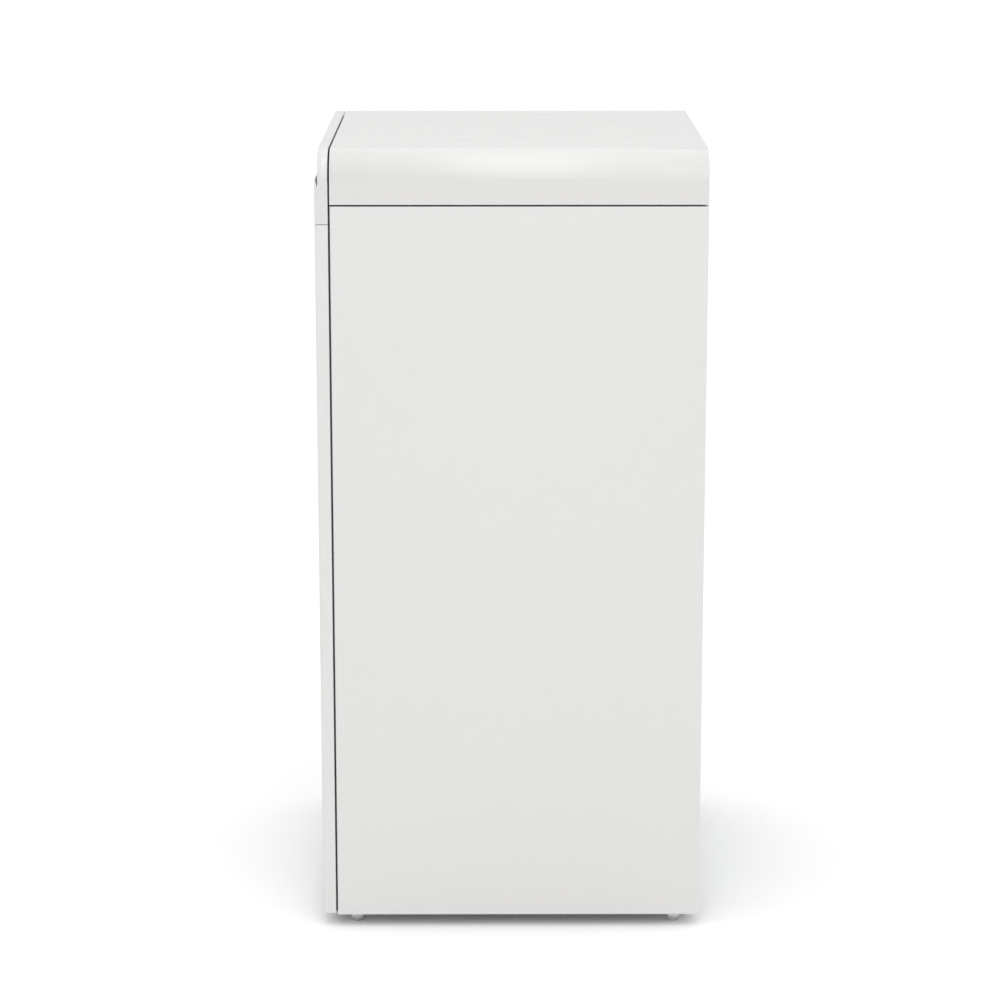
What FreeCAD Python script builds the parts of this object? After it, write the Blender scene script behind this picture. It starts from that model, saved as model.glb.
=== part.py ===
"""Freestanding trash compactor with a full-height drawer front and a screw-driven ram.

Frame: +Z is up, the front faces -Y and +X is to the right of someone who faces the front.
The origin is on the floor, under the middle of the machine. All sizes are in millimetres.
"""
import FreeCAD, Part
import math
import os
import re

import Sketcher
from FreeCAD import Placement, Rotation, Vector

SIZES = {
    # whole machine
    "overall_width": 457,
    "overall_height": 865,
    "overall_depth": 418,
    "ground_clearance": 14,
    "front_thickness": 14,
    "front_gap": 2,
    "shoulder_radius": 32,
    # cabinet skins
    "cover_height": 57,
    "cover_seam": 1.8,
    "cover_wall": 2.5,
    "panel_depth": 14,
    "panel_sheet": 1.2,
    "panel_bend": 1.5,
    "frame_sheet": 2,
    "frame_flange": 11.5,
    "frame_inset": 3,
    "back_sheet": 1,
    "back_inset": 2,
    "base_height": 15,
    "base_sheet": 1.5,
    "base_flange": 20,
    "cabinet_inset": 5,
    "fit_gap": 0.1,
    # levelling feet
    "foot_spread": 203.5,
    "foot_front": -172,
    "foot_rear": 182,
    "foot_flats": 13,
    "foot_head": 8,
    "foot_stud_radius": 4,
    "foot_stud_top": 34,
    "foot_nut_height": 6.5,
    "running_gap": 0.05,
    # fascia with its grip lip
    "fascia_height": 77.7,
    "fascia_seam": 0.6,
    "fascia_setback": 3.3,
    "fascia_wall": 3,
    "lip_top": 835,
    "lip_tip": 1.2,
    "lip_rounding": 0.4,
    "groove_bottom": 826,
    "finger_width": 170,
    "finger_bottom": 824,
    "finger_top": 857,
    "finger_depth": 7.5,
    "hollow_half_width": 210,
    "hollow_bottom": 791,
    "hollow_top": 820,
    "upper_hollow_bottom": 847,
    "upper_hollow_top": 860,
    "upper_hollow_inner": 92,
    "upper_hollow_outer": 192,
    "upper_hollow_depth": 7.5,
    # drawer front
    "front_bottom": 15,
    "front_rounding": 3,
    "front_sheet": 1.5,
    "front_return": 16.5,
    "liner_sheet": 1.2,
    "liner_half_width": 216,
    "liner_bottom": 20,
    "liner_top": 824,
    "seal_width": 6,
    "seal_gap": 1,
    "seal_thickness": 1.7,
    "seal_foot": 2.5,
    # controls
    "control_height": 806,
    "bezel_centre": 128,
    "bezel_width": 150,
    "bezel_height": 24,
    "bezel_clearance": 0.3,
    "bezel_flange": 1.5,
    "bezel_flange_lip": 2,
    "key_width": 22,
    "key_height": 12,
    "key_gap": 0.3,
    "key_shoulder": 1.5,
    "key_flange": 2,
    "key_stub_radius": 2,
    "key_stub_length": 2.3,
    "start_position": 150,
    "stop_position": 180,
    "dial_position": 80,
    "dial_radius": 10.4,
    "dial_recess": 2.5,
    "dial_shoulder": 1.2,
    "dial_flange": 2,
    "dial_end_gap": 0.3,
    "dial_shaft_radius": 3,
    "dial_bar_width": 4,
    "dial_bar_length": 18,
    "lens_position": 112,
    "lens_radius": 2.5,
    "lens_inset": 0.3,
    "board_thickness": 1.6,
    "board_gap": 1,
    "board_width": 140,
    "board_height": 26,
    "board_post_radius": 2.5,
    "board_post_spread": 65.8,
    "switch_side": 6,
    "switch_height": 1.4,
    "rotary_side": 13,
    "rotary_height": 3.4,
    "rotary_socket": 1.5,
    # drawer and slides
    "bin_half_width": 178,
    "bin_front": -172,
    "bin_rear": 78,
    "bin_floor": 60,
    "bin_top": 430,
    "bin_wall": 2.5,
    "bin_corner": 25,
    "bin_rim": 4,
    "bin_rim_height": 3,
    "tray_rear": 90,
    "tray_sheet": 2,
    "tray_side_height": 90,
    "slide_thickness": 12.7,
    "slide_height": 46,
    "slide_bottom": 84,
    "slide_sheet": 1.5,
    "slide_front": -187,
    "slide_length": 350,
    "slide_play": 0.7,
    # ram and its drive
    "screw_spread": 195,
    "screw_line": -47,
    "screw_radius": 8,
    "screw_foot_radius": 5,
    "screw_neck_radius": 6,
    "bracket_bottom": 434,
    "bracket_plate": 6,
    "bracket_leg": 3,
    "bracket_leg_height": 28,
    "bracket_half_length": 30,
    "bracket_inner": 180,
    "bearing_height": 8,
    "bearing_radius": 13,
    "bearing_gap": 0.5,
    "deck_bottom": 790,
    "deck_sheet": 3,
    "deck_flange": 12,
    "beam_top": 786,
    "beam_height": 28,
    "beam_half_length": 208,
    "beam_half_width": 20,
    "beam_wall": 3,
    "beam_pocket": 172,
    "nut_radius": 12.5,
    "nut_flange_radius": 16,
    "nut_flange": 5,
    "nut_bottom": 744,
    "ram_bottom": 455,
    "ram_half_width": 160,
    "ram_front": -157,
    "ram_rear": 63,
    "ram_wall": 2.5,
    "ram_platen": 6,
    # chain and gears
    "chain_pitch": 9.525,
    "roller_radius": 2.5,
    "roller_seat": 3.2,
    "tooth_height": 0.8,
    "sprocket_rise": 19,
    "sprocket_thickness": 4,
    "plate_gap": 0.5,
    "plate_thickness": 1.2,
    "plate_half_width": 3.5,
    "screw_teeth": 15,
    "drive_teeth": 10,
    "hub_radius": 11,
    "hub_rise": 2,
    "axle_radius": 6,
    "axle_base_radius": 14,
    "axle_base": 5,
    "axle_end": 3,
    "axle_line": 75,
    "gear_module": 1,
    "gear_teeth": 108,
    "pinion_teeth": 18,
    "gear_rise": 31,
    "gear_thickness": 10,
    "gear_hub_radius": 16,
    "gear_hub": 3,
    "gear_window_radius": 11,
    "gear_window_line": 33,
    "gear_windows": 6,
    "pinion_extra": 2,
    "pressure_angle": 20,
    "addendum": 0.95,
    "dedendum": 1.25,
    "backlash": 0.12,
    # motor
    "motor_radius": 45,
    "motor_flange_radius": 50,
    "motor_flange": 6,
    "motor_bottom": 672,
    "motor_wall": 5,
    "motor_end": 10,
    "motor_cap": 3,
    "motor_bolt_line": 40.4,
    "motor_bolt_count": 4,
    "shaft_radius": 6,
    "shaft_start": 4,
    "rotor_gap": 0.8,
    "rotor_margin": 14,
    "shaft_hole_radius": 14,
    # electrics and ventilation
    "capacitor_radius": 20,
    "capacitor_length": 92,
    "capacitor_x": -95,
    "capacitor_y": 150,
    "terminal_radius": 3,
    "terminal_length": 8,
    "terminal_spread": 8,
    "box_left": 75,
    "box_right": 175,
    "box_front": 115,
    "box_rear": 198,
    "box_bottom": 725,
    "box_wall": 2,
    "fan_half_side": 46,
    "fan_centre": 610,
    "fan_depth": 25,
    "fan_bore": 42,
    "fan_hub": 16,
    "fan_boss": 14,
    "fan_tip": 40,
    "fan_pin": 2.5,
    "fan_pin_inset": 4,
    "fan_strut": 4,
    "fan_strut_reach": 45,
    "fan_back": 3,
    "fan_blade_chord": 17,
    "fan_blade_thickness": 1.5,
    "fan_blade_tilt": 32,
    "fan_blades": 7,
    "fan_margin": 3,
    "fan_gap": 1,
    "filter_depth": 12,
    "filter_half_side": 50,
    "filter_cell": 15,
    "filter_web": 2.6,
    "filter_cells": 5,
    "vent_slot": 4,
    "vent_pitch": 8,
    "vent_half_width": 36,
    "vent_count": 10,
    "inlet_x": 150,
    "inlet_z": 90,
    "inlet_half_width": 13.5,
    "inlet_half_height": 10,
    "inlet_flange_half_width": 25,
    "inlet_flange_half_height": 12,
    "inlet_flange": 1.6,
    "inlet_depth": 22,
    "inlet_cavity": 15,
    "inlet_wall": 1.8,
    "inlet_pin": 1.6,
    "inlet_pin_spacing": 7,
    "inlet_pin_inset": 2,
    "contact_x": 160,
    "contact_half_width": 20,
    "contact_bottom": 796,
    "contact_height": 7,
    "contact_depth": 2,
    "plug_half_width": 18,
    "plug_reach": 2.3,
    "micro_x": 180,
    "micro_length": 20,
    "micro_width": 8,
    "micro_height": 13,
    "micro_front": -182,
    "plunger_radius": 1.5,
    "plunger_reach": 4,
    # fasteners
    "bolt_radius": 3,
    "bolt_hole_radius": 3.2,
    "bolt_head_radius": 5,
    "bolt_head": 3.5,
    "bolt_reach": 6,
    "bolt_spread": 150,
    "panel_screw_radius": 1.9,
    "panel_hole_radius": 2.2,
    "panel_screw_head": 4,
    "panel_screw_head_height": 1.6,
    "panel_screw_length": 6,
    "panel_screw_spread": 90,
    "panel_screw_lift": 3,
    "panel_screw_count": 5,
}

PLACES = {
    "half_width": "overall_width / 2",
    "front_face": "-overall_depth / 2",
    "front_rear": "front_face + front_thickness",
    "cabinet_front": "front_rear + front_gap",
    "rear": "overall_depth / 2",
    "cover_bottom": "overall_height - cover_height",
    "panel_top": "cover_bottom - cover_seam",
    "web_outer": "half_width - panel_depth",
    "web_inner": "web_outer - frame_sheet",
    "inside": "web_inner - fit_gap",
    "inner_front": "cabinet_front + cabinet_inset",
    "back_face": "rear - back_inset",
    "inner_rear": "back_face - back_sheet",
    "base_top": "base_height + base_sheet",
    "base_row": "base_height + base_flange / 2 + panel_screw_lift",
    "fascia_bottom": "overall_height - fascia_height",
    "setback_face": "front_face + fascia_setback",
    "front_top": "fascia_bottom - fascia_seam",
    "liner_rear": "front_rear + liner_sheet",
    "wall_rear": "front_face + fascia_wall",
    "bezel_rear": "wall_rear + bezel_flange",
    "board_rear": "front_rear - board_gap",
    "board_front": "board_rear - board_thickness",
    "tray_side": "web_inner - slide_thickness",
    "slide_rear": "slide_front + slide_length",
    "bracket_top": "bracket_bottom + bracket_plate",
    "deck_top": "deck_bottom + deck_sheet",
    "deck_row": "deck_top + deck_flange / 2",
    "beam_bottom": "beam_top - beam_height",
    "sprocket_low": "deck_top + sprocket_rise",
    "sprocket_high": "sprocket_low + sprocket_thickness",
    "gear_low": "deck_top + gear_rise",
    "gear_high": "gear_low + gear_thickness",
    "motor_line": "axle_line + gear_module * (gear_teeth + pinion_teeth) / 2",
    "motor_bore": "shaft_radius + running_gap",
    "fan_front": "inner_rear - fan_depth",
    "blade_front": "fan_front + fan_margin",
    "blade_rear": "inner_rear - fan_back - fan_gap",
}

WORD = re.compile(r"[a-z_][a-z0-9_]*")
ALONG = {
    "X": Rotation(Vector(0, 1, 0), 90),
    "Y": Rotation(Vector(1, 0, 0), -90),
    "Z": Rotation(),
}
SIDES = {"left": -1, "right": 1}
# how far a cut is drawn past a face, so that it leaves no skin behind
PAST = 5
# how near two places count as the same
TOUCH = 0.01

doc = FreeCAD.newDocument("TrashCompactor")
subparts = []


def fill_sheet():
    """Write the driving dimensions into the spreadsheet, one named cell each."""
    sheet = doc.addObject("Spreadsheet::Sheet", "Sizes")
    for row, (alias, size) in enumerate(SIZES.items(), start=1):
        sheet.set(f"A{row}", str(size))
        sheet.setAlias(f"A{row}", alias)
    doc.recompute()
    return sheet


sizes = fill_sheet()


def expression(text):
    """A formula with its places written out and its sizes read from the sheet."""

    def spell(match):
        word = match.group(0)
        if word in PLACES:
            return f"({expression(PLACES[word])})"
        return f"Sizes.{word}" if word in SIZES else word

    return WORD.sub(spell, str(text))


def value(text):
    """The number that a formula stands for at the sheet's present sizes."""
    return float(sizes.evalExpression(expression(text)))


def bind(thing, **formulas):
    """Bind properties of a feature to formulas."""
    for name, text in formulas.items():
        thing.setExpression(name, expression(text))
    return thing


def locate(thing, x, y, z):
    """Bind a feature's position to formulas."""
    for axis, text in zip("xyz", (x, y, z)):
        thing.setExpression(f"Placement.Base.{axis}", expression(text))
    return thing


def keep(name, thing):
    """Name a finished sub-part and list it for export."""
    thing.Label = name
    subparts.append(thing)
    return thing


# ---- Part primitives and booleans -------------------------------------------------------------


def block(x, y, z):
    """A box between a low and a high plane on each axis."""
    thing = doc.addObject("Part::Box", "Block")
    for size, (low, high) in zip(("Length", "Width", "Height"), (x, y, z)):
        thing.setExpression(size, expression(f"{high} - ({low})"))
    return locate(thing, x[0], y[0], z[0])


def both(half):
    """A span centred on the middle plane."""
    return (f"-({half})", half)


def around(centre, half):
    """A span centred on a place."""
    return (f"{centre} - ({half})", f"{centre} + ({half})")


def upward(low, rise):
    """A span that starts at a place."""
    return (low, f"{low} + {rise}")


def through(low, high):
    """A span that passes both faces of a wall."""
    return (f"{low} - {PAST}", f"{high} + {PAST}")


def rod(radius, along, centre, span):
    """A cylinder along an axis; centre holds its other two coordinates, in X, Y, Z order."""
    thing = doc.addObject("Part::Cylinder", "Rod")
    thing.Placement = Placement(Vector(), ALONG[along])
    bind(thing, Radius=radius, Height=f"{span[1]} - ({span[0]})")
    base = list(centre)
    base.insert("XYZ".index(along), span[0])
    return locate(thing, *base)


def hexagon(flats, centre, span):
    """An upright hexagonal prism, given across its flats."""
    thing = doc.addObject("Part::Prism", "Hexagon")
    thing.Polygon = 6
    bind(thing, Circumradius=f"{flats} / sqrt(3)", Height=f"{span[1]} - ({span[0]})")
    return locate(thing, centre[0], centre[1], span[0])


def join(*pieces):
    """One solid made of pieces that touch or overlap."""
    thing = doc.addObject("Part::MultiFuse", "Join")
    thing.Shapes = list(pieces)
    thing.Refine = True
    return thing


def group(*pieces):
    """Separate solids that share one node."""
    thing = doc.addObject("Part::Compound", "Group")
    thing.Links = list(pieces)
    return thing


def cut(base, *tools):
    """The base with every tool taken out of it."""
    thing = doc.addObject("Part::Cut", "Cut")
    thing.Base = base
    thing.Tool = tools[0] if len(tools) == 1 else join(*tools)
    thing.Refine = True
    return thing


def round_edges(base, radius, chosen):
    """Round the chosen edges of a Part solid."""
    doc.recompute()
    thing = doc.addObject("Part::Fillet", "Rounded")
    thing.Base = base
    size = value(radius)
    thing.Edges = [(number, size, size) for number in edge_numbers(base.Shape, chosen)]
    return thing


def mirrored(source):
    """The same piece on the other side of the middle plane."""
    thing = doc.addObject("Part::Mirroring", "Mirrored")
    thing.Source = source
    thing.Normal = Vector(1, 0, 0)
    return thing


def pair(name, right_piece):
    """Keep a right-hand piece and its mirror image as two sub-parts."""
    keep(f"{name}_right", right_piece)
    keep(f"{name}_left", mirrored(right_piece))


def upright(edge):
    box = edge.BoundBox
    return box.ZLength > TOUCH and max(box.XLength, box.YLength) < TOUCH


def edge_numbers(shape, chosen):
    return [number for number, edge in enumerate(shape.Edges, start=1) if chosen(edge)]


# ---- PartDesign features ----------------------------------------------------------------------


def new_body(name):
    return doc.addObject("PartDesign::Body", name)


def sketch(body, role, offset, *outlines):
    """Closed outlines on an origin plane; each corner is bound to a pair of formulas."""
    drawing = body.newObject("Sketcher::SketchObject", "Outline")
    plane = next(item for item in body.Origin.OriginFeatures if item.Role == role)
    drawing.AttachmentSupport = [(plane, "")]
    drawing.MapMode = "FlatFace"
    drawing.setExpression("AttachmentOffset.Base.z", expression(offset))
    for outline in outlines:
        draw_outline(drawing, outline)
    return drawing


def draw_outline(drawing, outline):
    first = drawing.GeometryCount
    points = [Vector(value(across), value(up), 0) for across, up in outline]
    for index, point in enumerate(points):
        drawing.addGeometry(Part.LineSegment(point, points[(index + 1) % len(points)]))
    for index, (across, up) in enumerate(outline):
        line = first + index
        following = first + (index + 1) % len(points)
        drawing.addConstraint(Sketcher.Constraint("Coincident", line, 2, following, 1))
        for kind, text in (("DistanceX", across), ("DistanceY", up)):
            limit = Sketcher.Constraint(kind, -1, 1, line, 1, value(text))
            number = drawing.addConstraint(limit)
            drawing.setExpression(f"Constraints[{number}]", expression(text))


def rectangle(across, up):
    """The four corners of a rectangle between two pairs of formulas."""
    return [(across[0], up[0]), (across[1], up[0]), (across[1], up[1]), (across[0], up[1])]


def pad(body, profile, length, reverse=False):
    feature = body.newObject("PartDesign::Pad", "Pad")
    feature.Profile = profile
    feature.Reversed = reverse
    return bind(feature, Length=length)


def pocket(body, profile, length, reverse=False):
    """Cut a profile to a depth, and make sure that it met the solid."""
    doc.recompute()
    before = body.Shape.Volume
    feature = body.newObject("PartDesign::Pocket", "Pocket")
    feature.Profile = profile
    feature.Reversed = reverse
    if length is None:
        feature.Type = "ThroughAll"
        feature.Midplane = True
    else:
        bind(feature, Length=length)
    doc.recompute()
    if body.Shape.Volume > before - TOUCH:
        raise ValueError(f"a pocket in {body.Name} cuts nothing")
    return feature


def fillet(body, feature, radius, chosen):
    doc.recompute()
    numbers = edge_numbers(feature.Shape, chosen)
    rounded = body.newObject("PartDesign::Fillet", "Fillet")
    rounded.Base = (feature, [f"Edge{number}" for number in numbers])
    return bind(rounded, Radius=radius)


def shell(body, feature, wall, opening):
    """Hollow a solid inwards, leaving the chosen face open."""
    doc.recompute()
    faces = [
        f"Face{number}"
        for number, face in enumerate(feature.Shape.Faces, start=1)
        if opening(face.BoundBox)
    ]
    hollow = body.newObject("PartDesign::Thickness", "Hollow")
    hollow.Base = (feature, faces)
    hollow.Reversed = True
    return bind(hollow, Value=wall)


def at_shoulder(edge):
    """An edge along Y at the top of either side."""
    box = edge.BoundBox
    at_top = box.ZMin > value("overall_height") - TOUCH
    at_side = abs(abs(box.Center.x) - value("half_width")) < TOUCH
    return at_top and at_side and box.YLength > TOUCH


# ---- cabinet ----------------------------------------------------------------------------------


def side_panels():
    """A folded steel tray that is open towards the middle of the machine."""
    body = new_body("SidePanel")
    outline = rectangle(("cabinet_front", "rear"), ("ground_clearance", "panel_top"))
    skin = pad(body, sketch(body, "YZ_Plane", "half_width", outline), "panel_depth", True)
    outer = value("half_width") - TOUCH
    fillet(body, skin, "panel_bend", lambda edge: edge.BoundBox.XMin > outer)
    along = ("cabinet_front + panel_sheet", "rear - panel_sheet")
    up = ("ground_clearance + panel_sheet", "panel_top - panel_sheet")
    inside = sketch(body, "YZ_Plane", "web_outer", rectangle(along, up))
    pocket(body, inside, "panel_depth - panel_sheet", True)
    pair("side_panel", body)


def top_cover():
    """A moulded cover with rounded shoulders, open underneath."""
    body = new_body("TopCover")
    outline = rectangle(both("half_width"), ("cover_bottom", "overall_height"))
    profile = sketch(body, "XZ_Plane", "-(cabinet_front)", outline)
    slab = pad(body, profile, "rear - (cabinet_front)", True)
    arched = fillet(body, slab, "shoulder_radius", at_shoulder)
    low = value("cover_bottom") + TOUCH
    shell(body, arched, "cover_wall", lambda box: box.ZMax < low)
    keep("top_cover", body)


def side_frames():
    """A heavier steel tray behind each side panel, open outwards, that carries the machine."""
    across = ("web_inner", "web_outer + frame_flange - frame_sheet")
    along = ("cabinet_front + frame_inset", "inner_rear")
    up = ("base_height + frame_sheet", "panel_top - frame_inset")
    hollow = block(
        ("web_outer", f"{across[1]} + {PAST}"),
        (f"{along[0]} + frame_sheet", f"{along[1]} - frame_sheet"),
        (f"{up[0]} + frame_sheet", f"{up[1]} - frame_sheet"),
    )
    pair("side_frame", cut(block(across, along, up), hollow))


def screw_row(height):
    """A row of panel screws, spread evenly about the middle, as (x, z) formulas."""
    reach = SIZES["panel_screw_count"] // 2
    return [(f"{step} * panel_screw_spread", height) for step in range(-reach, reach + 1)]


def back_panel():
    """A flat sheet with vent slots behind the fan and the motor, and the inlet's cut-out."""
    plate = block(
        both("web_outer + frame_flange - frame_sheet"),
        ("inner_rear", "back_face"),
        ("base_height + frame_sheet", "panel_top - frame_inset"),
    )
    wall = through("inner_rear", "back_face")
    rows = screw_row("base_row") + screw_row("deck_row")
    tools = [rod("panel_hole_radius", "Y", place, wall) for place in rows]
    for middle in ("fan_centre", "(motor_bottom + deck_bottom) / 2"):
        for number in range(SIZES["vent_count"]):
            low = f"{middle} + ({number} - vent_count / 2) * vent_pitch"
            tools.append(block(both("vent_half_width"), wall, upward(low, "vent_slot")))
    across = around("inlet_x", "inlet_half_width")
    tools.append(block(across, wall, around("inlet_z", "inlet_half_height")))
    keep("back_panel", cut(plate, *tools))


def foot_places():
    """The name and (x, y) place of each foot."""
    for end in ("front", "rear"):
        for side, sign in SIDES.items():
            yield f"{end}_{side}", (f"{sign} * foot_spread", f"foot_{end}")


def base_pan():
    """A steel pan with turned-up edges and a weld nut over each foot."""
    along = ("inner_front", "inner_rear")
    pan = block(both("inside"), along, upward("base_height", "base_flange"))
    hollow = block(
        both("inside - base_sheet"),
        ("inner_front + base_sheet", "inner_rear - base_sheet"),
        ("base_top", f"base_height + base_flange + {PAST}"),
    )
    nuts = []
    holes = []
    for _, place in foot_places():
        nuts.append(hexagon("foot_flats", place, upward("base_top", "foot_nut_height")))
        bore = through("base_height", "base_top + foot_nut_height")
        holes.append(rod("foot_stud_radius + running_gap", "Z", place, bore))
    flange = through("inner_rear - base_sheet", "inner_rear")
    holes += [rod("panel_screw_radius", "Y", place, flange) for place in screw_row("base_row")]
    keep("base_pan", cut(join(cut(pan, hollow), *nuts), *holes))


def feet():
    """Hex-headed levelling bolts that screw into the base pan's weld nuts."""
    for name, place in foot_places():
        head = hexagon("foot_flats", place, ("0", "foot_head"))
        stud = rod("foot_stud_radius", "Z", place, ("foot_head", "foot_stud_top"))
        keep(f"foot_{name}", join(head, stud))


def back_screws():
    """Pan-head screws that hold the back panel to the deck and the base pan."""
    screws = []
    for place in screw_row("base_row") + screw_row("deck_row"):
        head = rod("panel_screw_head", "Y", place, upward("back_face", "panel_screw_head_height"))
        shank = rod("panel_screw_radius", "Y", place, ("back_face - panel_screw_length", "back_face"))
        screws.append(join(head, shank))
    keep("back_screws", group(*screws))


def cabinet():
    side_panels()
    top_cover()
    side_frames()
    back_panel()
    base_pan()
    feet()
    back_screws()


# ---- drawer front -----------------------------------------------------------------------------


def fascia():
    """The upper part of the drawer front: set back above a full-width grip lip."""
    body = new_body("Fascia")
    outline = rectangle(both("half_width"), ("fascia_bottom", "overall_height"))
    profile = sketch(body, "XZ_Plane", "-(front_rear)", outline)
    slab = pad(body, profile, "front_thickness")
    fillet(body, slab, "shoulder_radius", at_shoulder)
    above = f"overall_height + {PAST}"
    ahead = f"front_face - {PAST}"
    groove = [
        (ahead, above),
        (ahead, "lip_top"),
        ("front_face + lip_tip", "lip_top"),
        ("setback_face", "groove_bottom"),
        ("setback_face", above),
    ]
    cutter = pocket(body, sketch(body, "YZ_Plane", "0", groove), None)
    tip = value("lip_top")
    width = value("half_width")

    def on_lip(edge):
        return abs(edge.BoundBox.Center.z - tip) < TOUCH and edge.BoundBox.XLength > width

    fillet(body, cutter, "lip_rounding", on_lip)
    scoop = rectangle(both("finger_width / 2"), ("finger_bottom", "finger_top"))
    pocket(body, sketch(body, "XZ_Plane", "-(setback_face)", scoop), "finger_depth")
    hollow = rectangle(both("hollow_half_width"), ("hollow_bottom", "hollow_top"))
    behind = "-(front_rear)"
    depth = "front_thickness - fascia_wall"
    pocket(body, sketch(body, "XZ_Plane", behind, hollow), depth, True)
    up = ("upper_hollow_bottom", "upper_hollow_top")
    ends = [
        rectangle(("-upper_hollow_outer", "-upper_hollow_inner"), up),
        rectangle(("upper_hollow_inner", "upper_hollow_outer"), up),
    ]
    pocket(body, sketch(body, "XZ_Plane", behind, *ends), "upper_hollow_depth", True)
    across = around("bezel_centre", "bezel_width / 2 + bezel_clearance")
    up = around("control_height", "bezel_height / 2 + bezel_clearance")
    window = sketch(body, "XZ_Plane", "-(front_face)", rectangle(across, up))
    pocket(body, window, "fascia_wall")
    keep("fascia", body)


def front_panel():
    """The lower part of the drawer front: a folded panel with returned edges."""
    body = new_body("FrontPanel")
    outline = rectangle(both("half_width"), ("front_bottom", "front_top"))
    slab = pad(body, sketch(body, "XZ_Plane", "-(front_rear)", outline), "front_thickness")
    side = value("half_width") - TOUCH
    face = value("front_face") + TOUCH
    floor = value("front_bottom") + TOUCH

    def outer_corner(edge):
        """An edge of the face, at either side or the bottom, or the edge of a lower corner."""
        box = edge.BoundBox
        at_side = abs(box.Center.x) > side
        at_bottom = box.ZMax < floor
        at_face = box.YMax < face
        return at_face and (at_side or at_bottom) or at_side and at_bottom

    fillet(body, slab, "front_rounding", outer_corner)
    opening = rectangle(
        both("half_width - front_return"),
        ("front_bottom + front_return", "front_top - front_return"),
    )
    pocket(body, sketch(body, "XZ_Plane", "-(front_rear)", opening), "front_sheet", True)
    cavity = rectangle(
        both("half_width - front_sheet"),
        ("front_bottom + front_sheet", "front_top - front_sheet"),
    )
    inner_plane = "-(front_rear - front_sheet)"
    depth = "front_thickness - 2 * front_sheet"
    pocket(body, sketch(body, "XZ_Plane", inner_plane, cavity), depth, True)
    keep("front_panel", body)


def front_bolt_places():
    """Three bolts up each side of the drawer front, as (x, z) formulas."""
    heights = [f"bin_floor + (bin_top - bin_floor) * {share}" for share in ("1 / 6", "1 / 2", "5 / 6")]
    return [(f"{sign} * bolt_spread", height) for sign in SIDES.values() for height in heights]


def front_liner():
    """The sheet that closes the back of the drawer front, with the contact plug on it."""
    span = ("front_rear", "liner_rear")
    sheet = block(both("liner_half_width"), span, ("liner_bottom", "liner_top"))
    wall = through("front_rear", "liner_rear")
    holes = [rod("bolt_hole_radius", "Y", place, wall) for place in front_bolt_places()]
    plug = block(
        around("contact_x", "plug_half_width"),
        upward("liner_rear", "plug_reach"),
        upward("contact_bottom", "contact_height"),
    )
    keep("front_liner", join(cut(sheet, *holes), plug))


def front_seal():
    """A gasket strip round the liner, narrower along the bottom."""
    inner = "liner_half_width + seal_gap"
    low, high = "liner_bottom - seal_gap", "liner_top + seal_gap"
    frame = block(
        both(f"{inner} + seal_width"),
        upward("front_rear", "seal_thickness"),
        (f"{low} - seal_foot", f"{high} + seal_width"),
    )
    window = block(both(inner), through("front_rear", "cabinet_front"), (low, high))
    keep("front_seal", cut(frame, window))


def control_bezel():
    """A plate let into the fascia, with windows for the keys, the dial and the lens."""
    across = around("bezel_centre", "bezel_width / 2")
    up = around("control_height", "bezel_height / 2")
    plate = block(across, ("front_face", "bezel_rear"), up)
    flange = block(
        around("bezel_centre", "bezel_width / 2 + bezel_flange_lip"),
        ("wall_rear", "bezel_rear"),
        around("control_height", "bezel_height / 2 + bezel_flange_lip"),
    )
    wall = through("front_face", "bezel_rear")
    windows = [
        block(
            around(place, "key_width / 2 + key_gap"),
            wall,
            around("control_height", "key_height / 2 + key_gap"),
        )
        for place in ("start_position", "stop_position")
    ]
    dial = rod("dial_radius + key_gap", "Y", ("dial_position", "control_height"), wall)
    lens = rod("lens_radius", "Y", ("lens_position", "control_height"), wall)
    keep("control_bezel", cut(join(plate, flange), *windows, dial, lens))


def keys():
    """Two push keys, each held in by a shoulder behind the bezel."""
    for name in ("start", "stop"):
        place = f"{name}_position"
        cap = block(
            around(place, "key_width / 2"),
            ("front_face + key_gap", "bezel_rear + key_gap"),
            around("control_height", "key_height / 2"),
        )
        shoulder = block(
            around(place, "key_width / 2 + key_flange"),
            upward("bezel_rear + key_gap", "key_shoulder"),
            around("control_height", "key_height / 2 + key_flange"),
        )
        behind = "bezel_rear + key_gap + key_shoulder"
        stub = rod("key_stub_radius", "Y", (place, "control_height"), upward(behind, "key_stub_length"))
        keep(f"{name}_button", join(cap, shoulder, stub))


def lock_dial():
    """A quarter-turn dial with a raised finger bar that ends flush with the bezel."""
    place = ("dial_position", "control_height")
    disc_front = "front_face + dial_recess"
    disc = rod("dial_radius", "Y", place, (disc_front, "bezel_rear + key_gap"))
    bar = block(
        around("dial_position", "dial_bar_width / 2"),
        ("front_face + key_gap", disc_front),
        around("control_height", "dial_bar_length / 2"),
    )
    behind = "bezel_rear + key_gap"
    shoulder = rod("dial_radius + dial_flange", "Y", place, upward(behind, "dial_shoulder"))
    tip = "board_front - rotary_height + rotary_socket - dial_end_gap"
    shaft = rod("dial_shaft_radius", "Y", place, (f"{behind} + dial_shoulder", tip))
    keep("lock_dial", join(disc, bar, shoulder, shaft))


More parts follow.
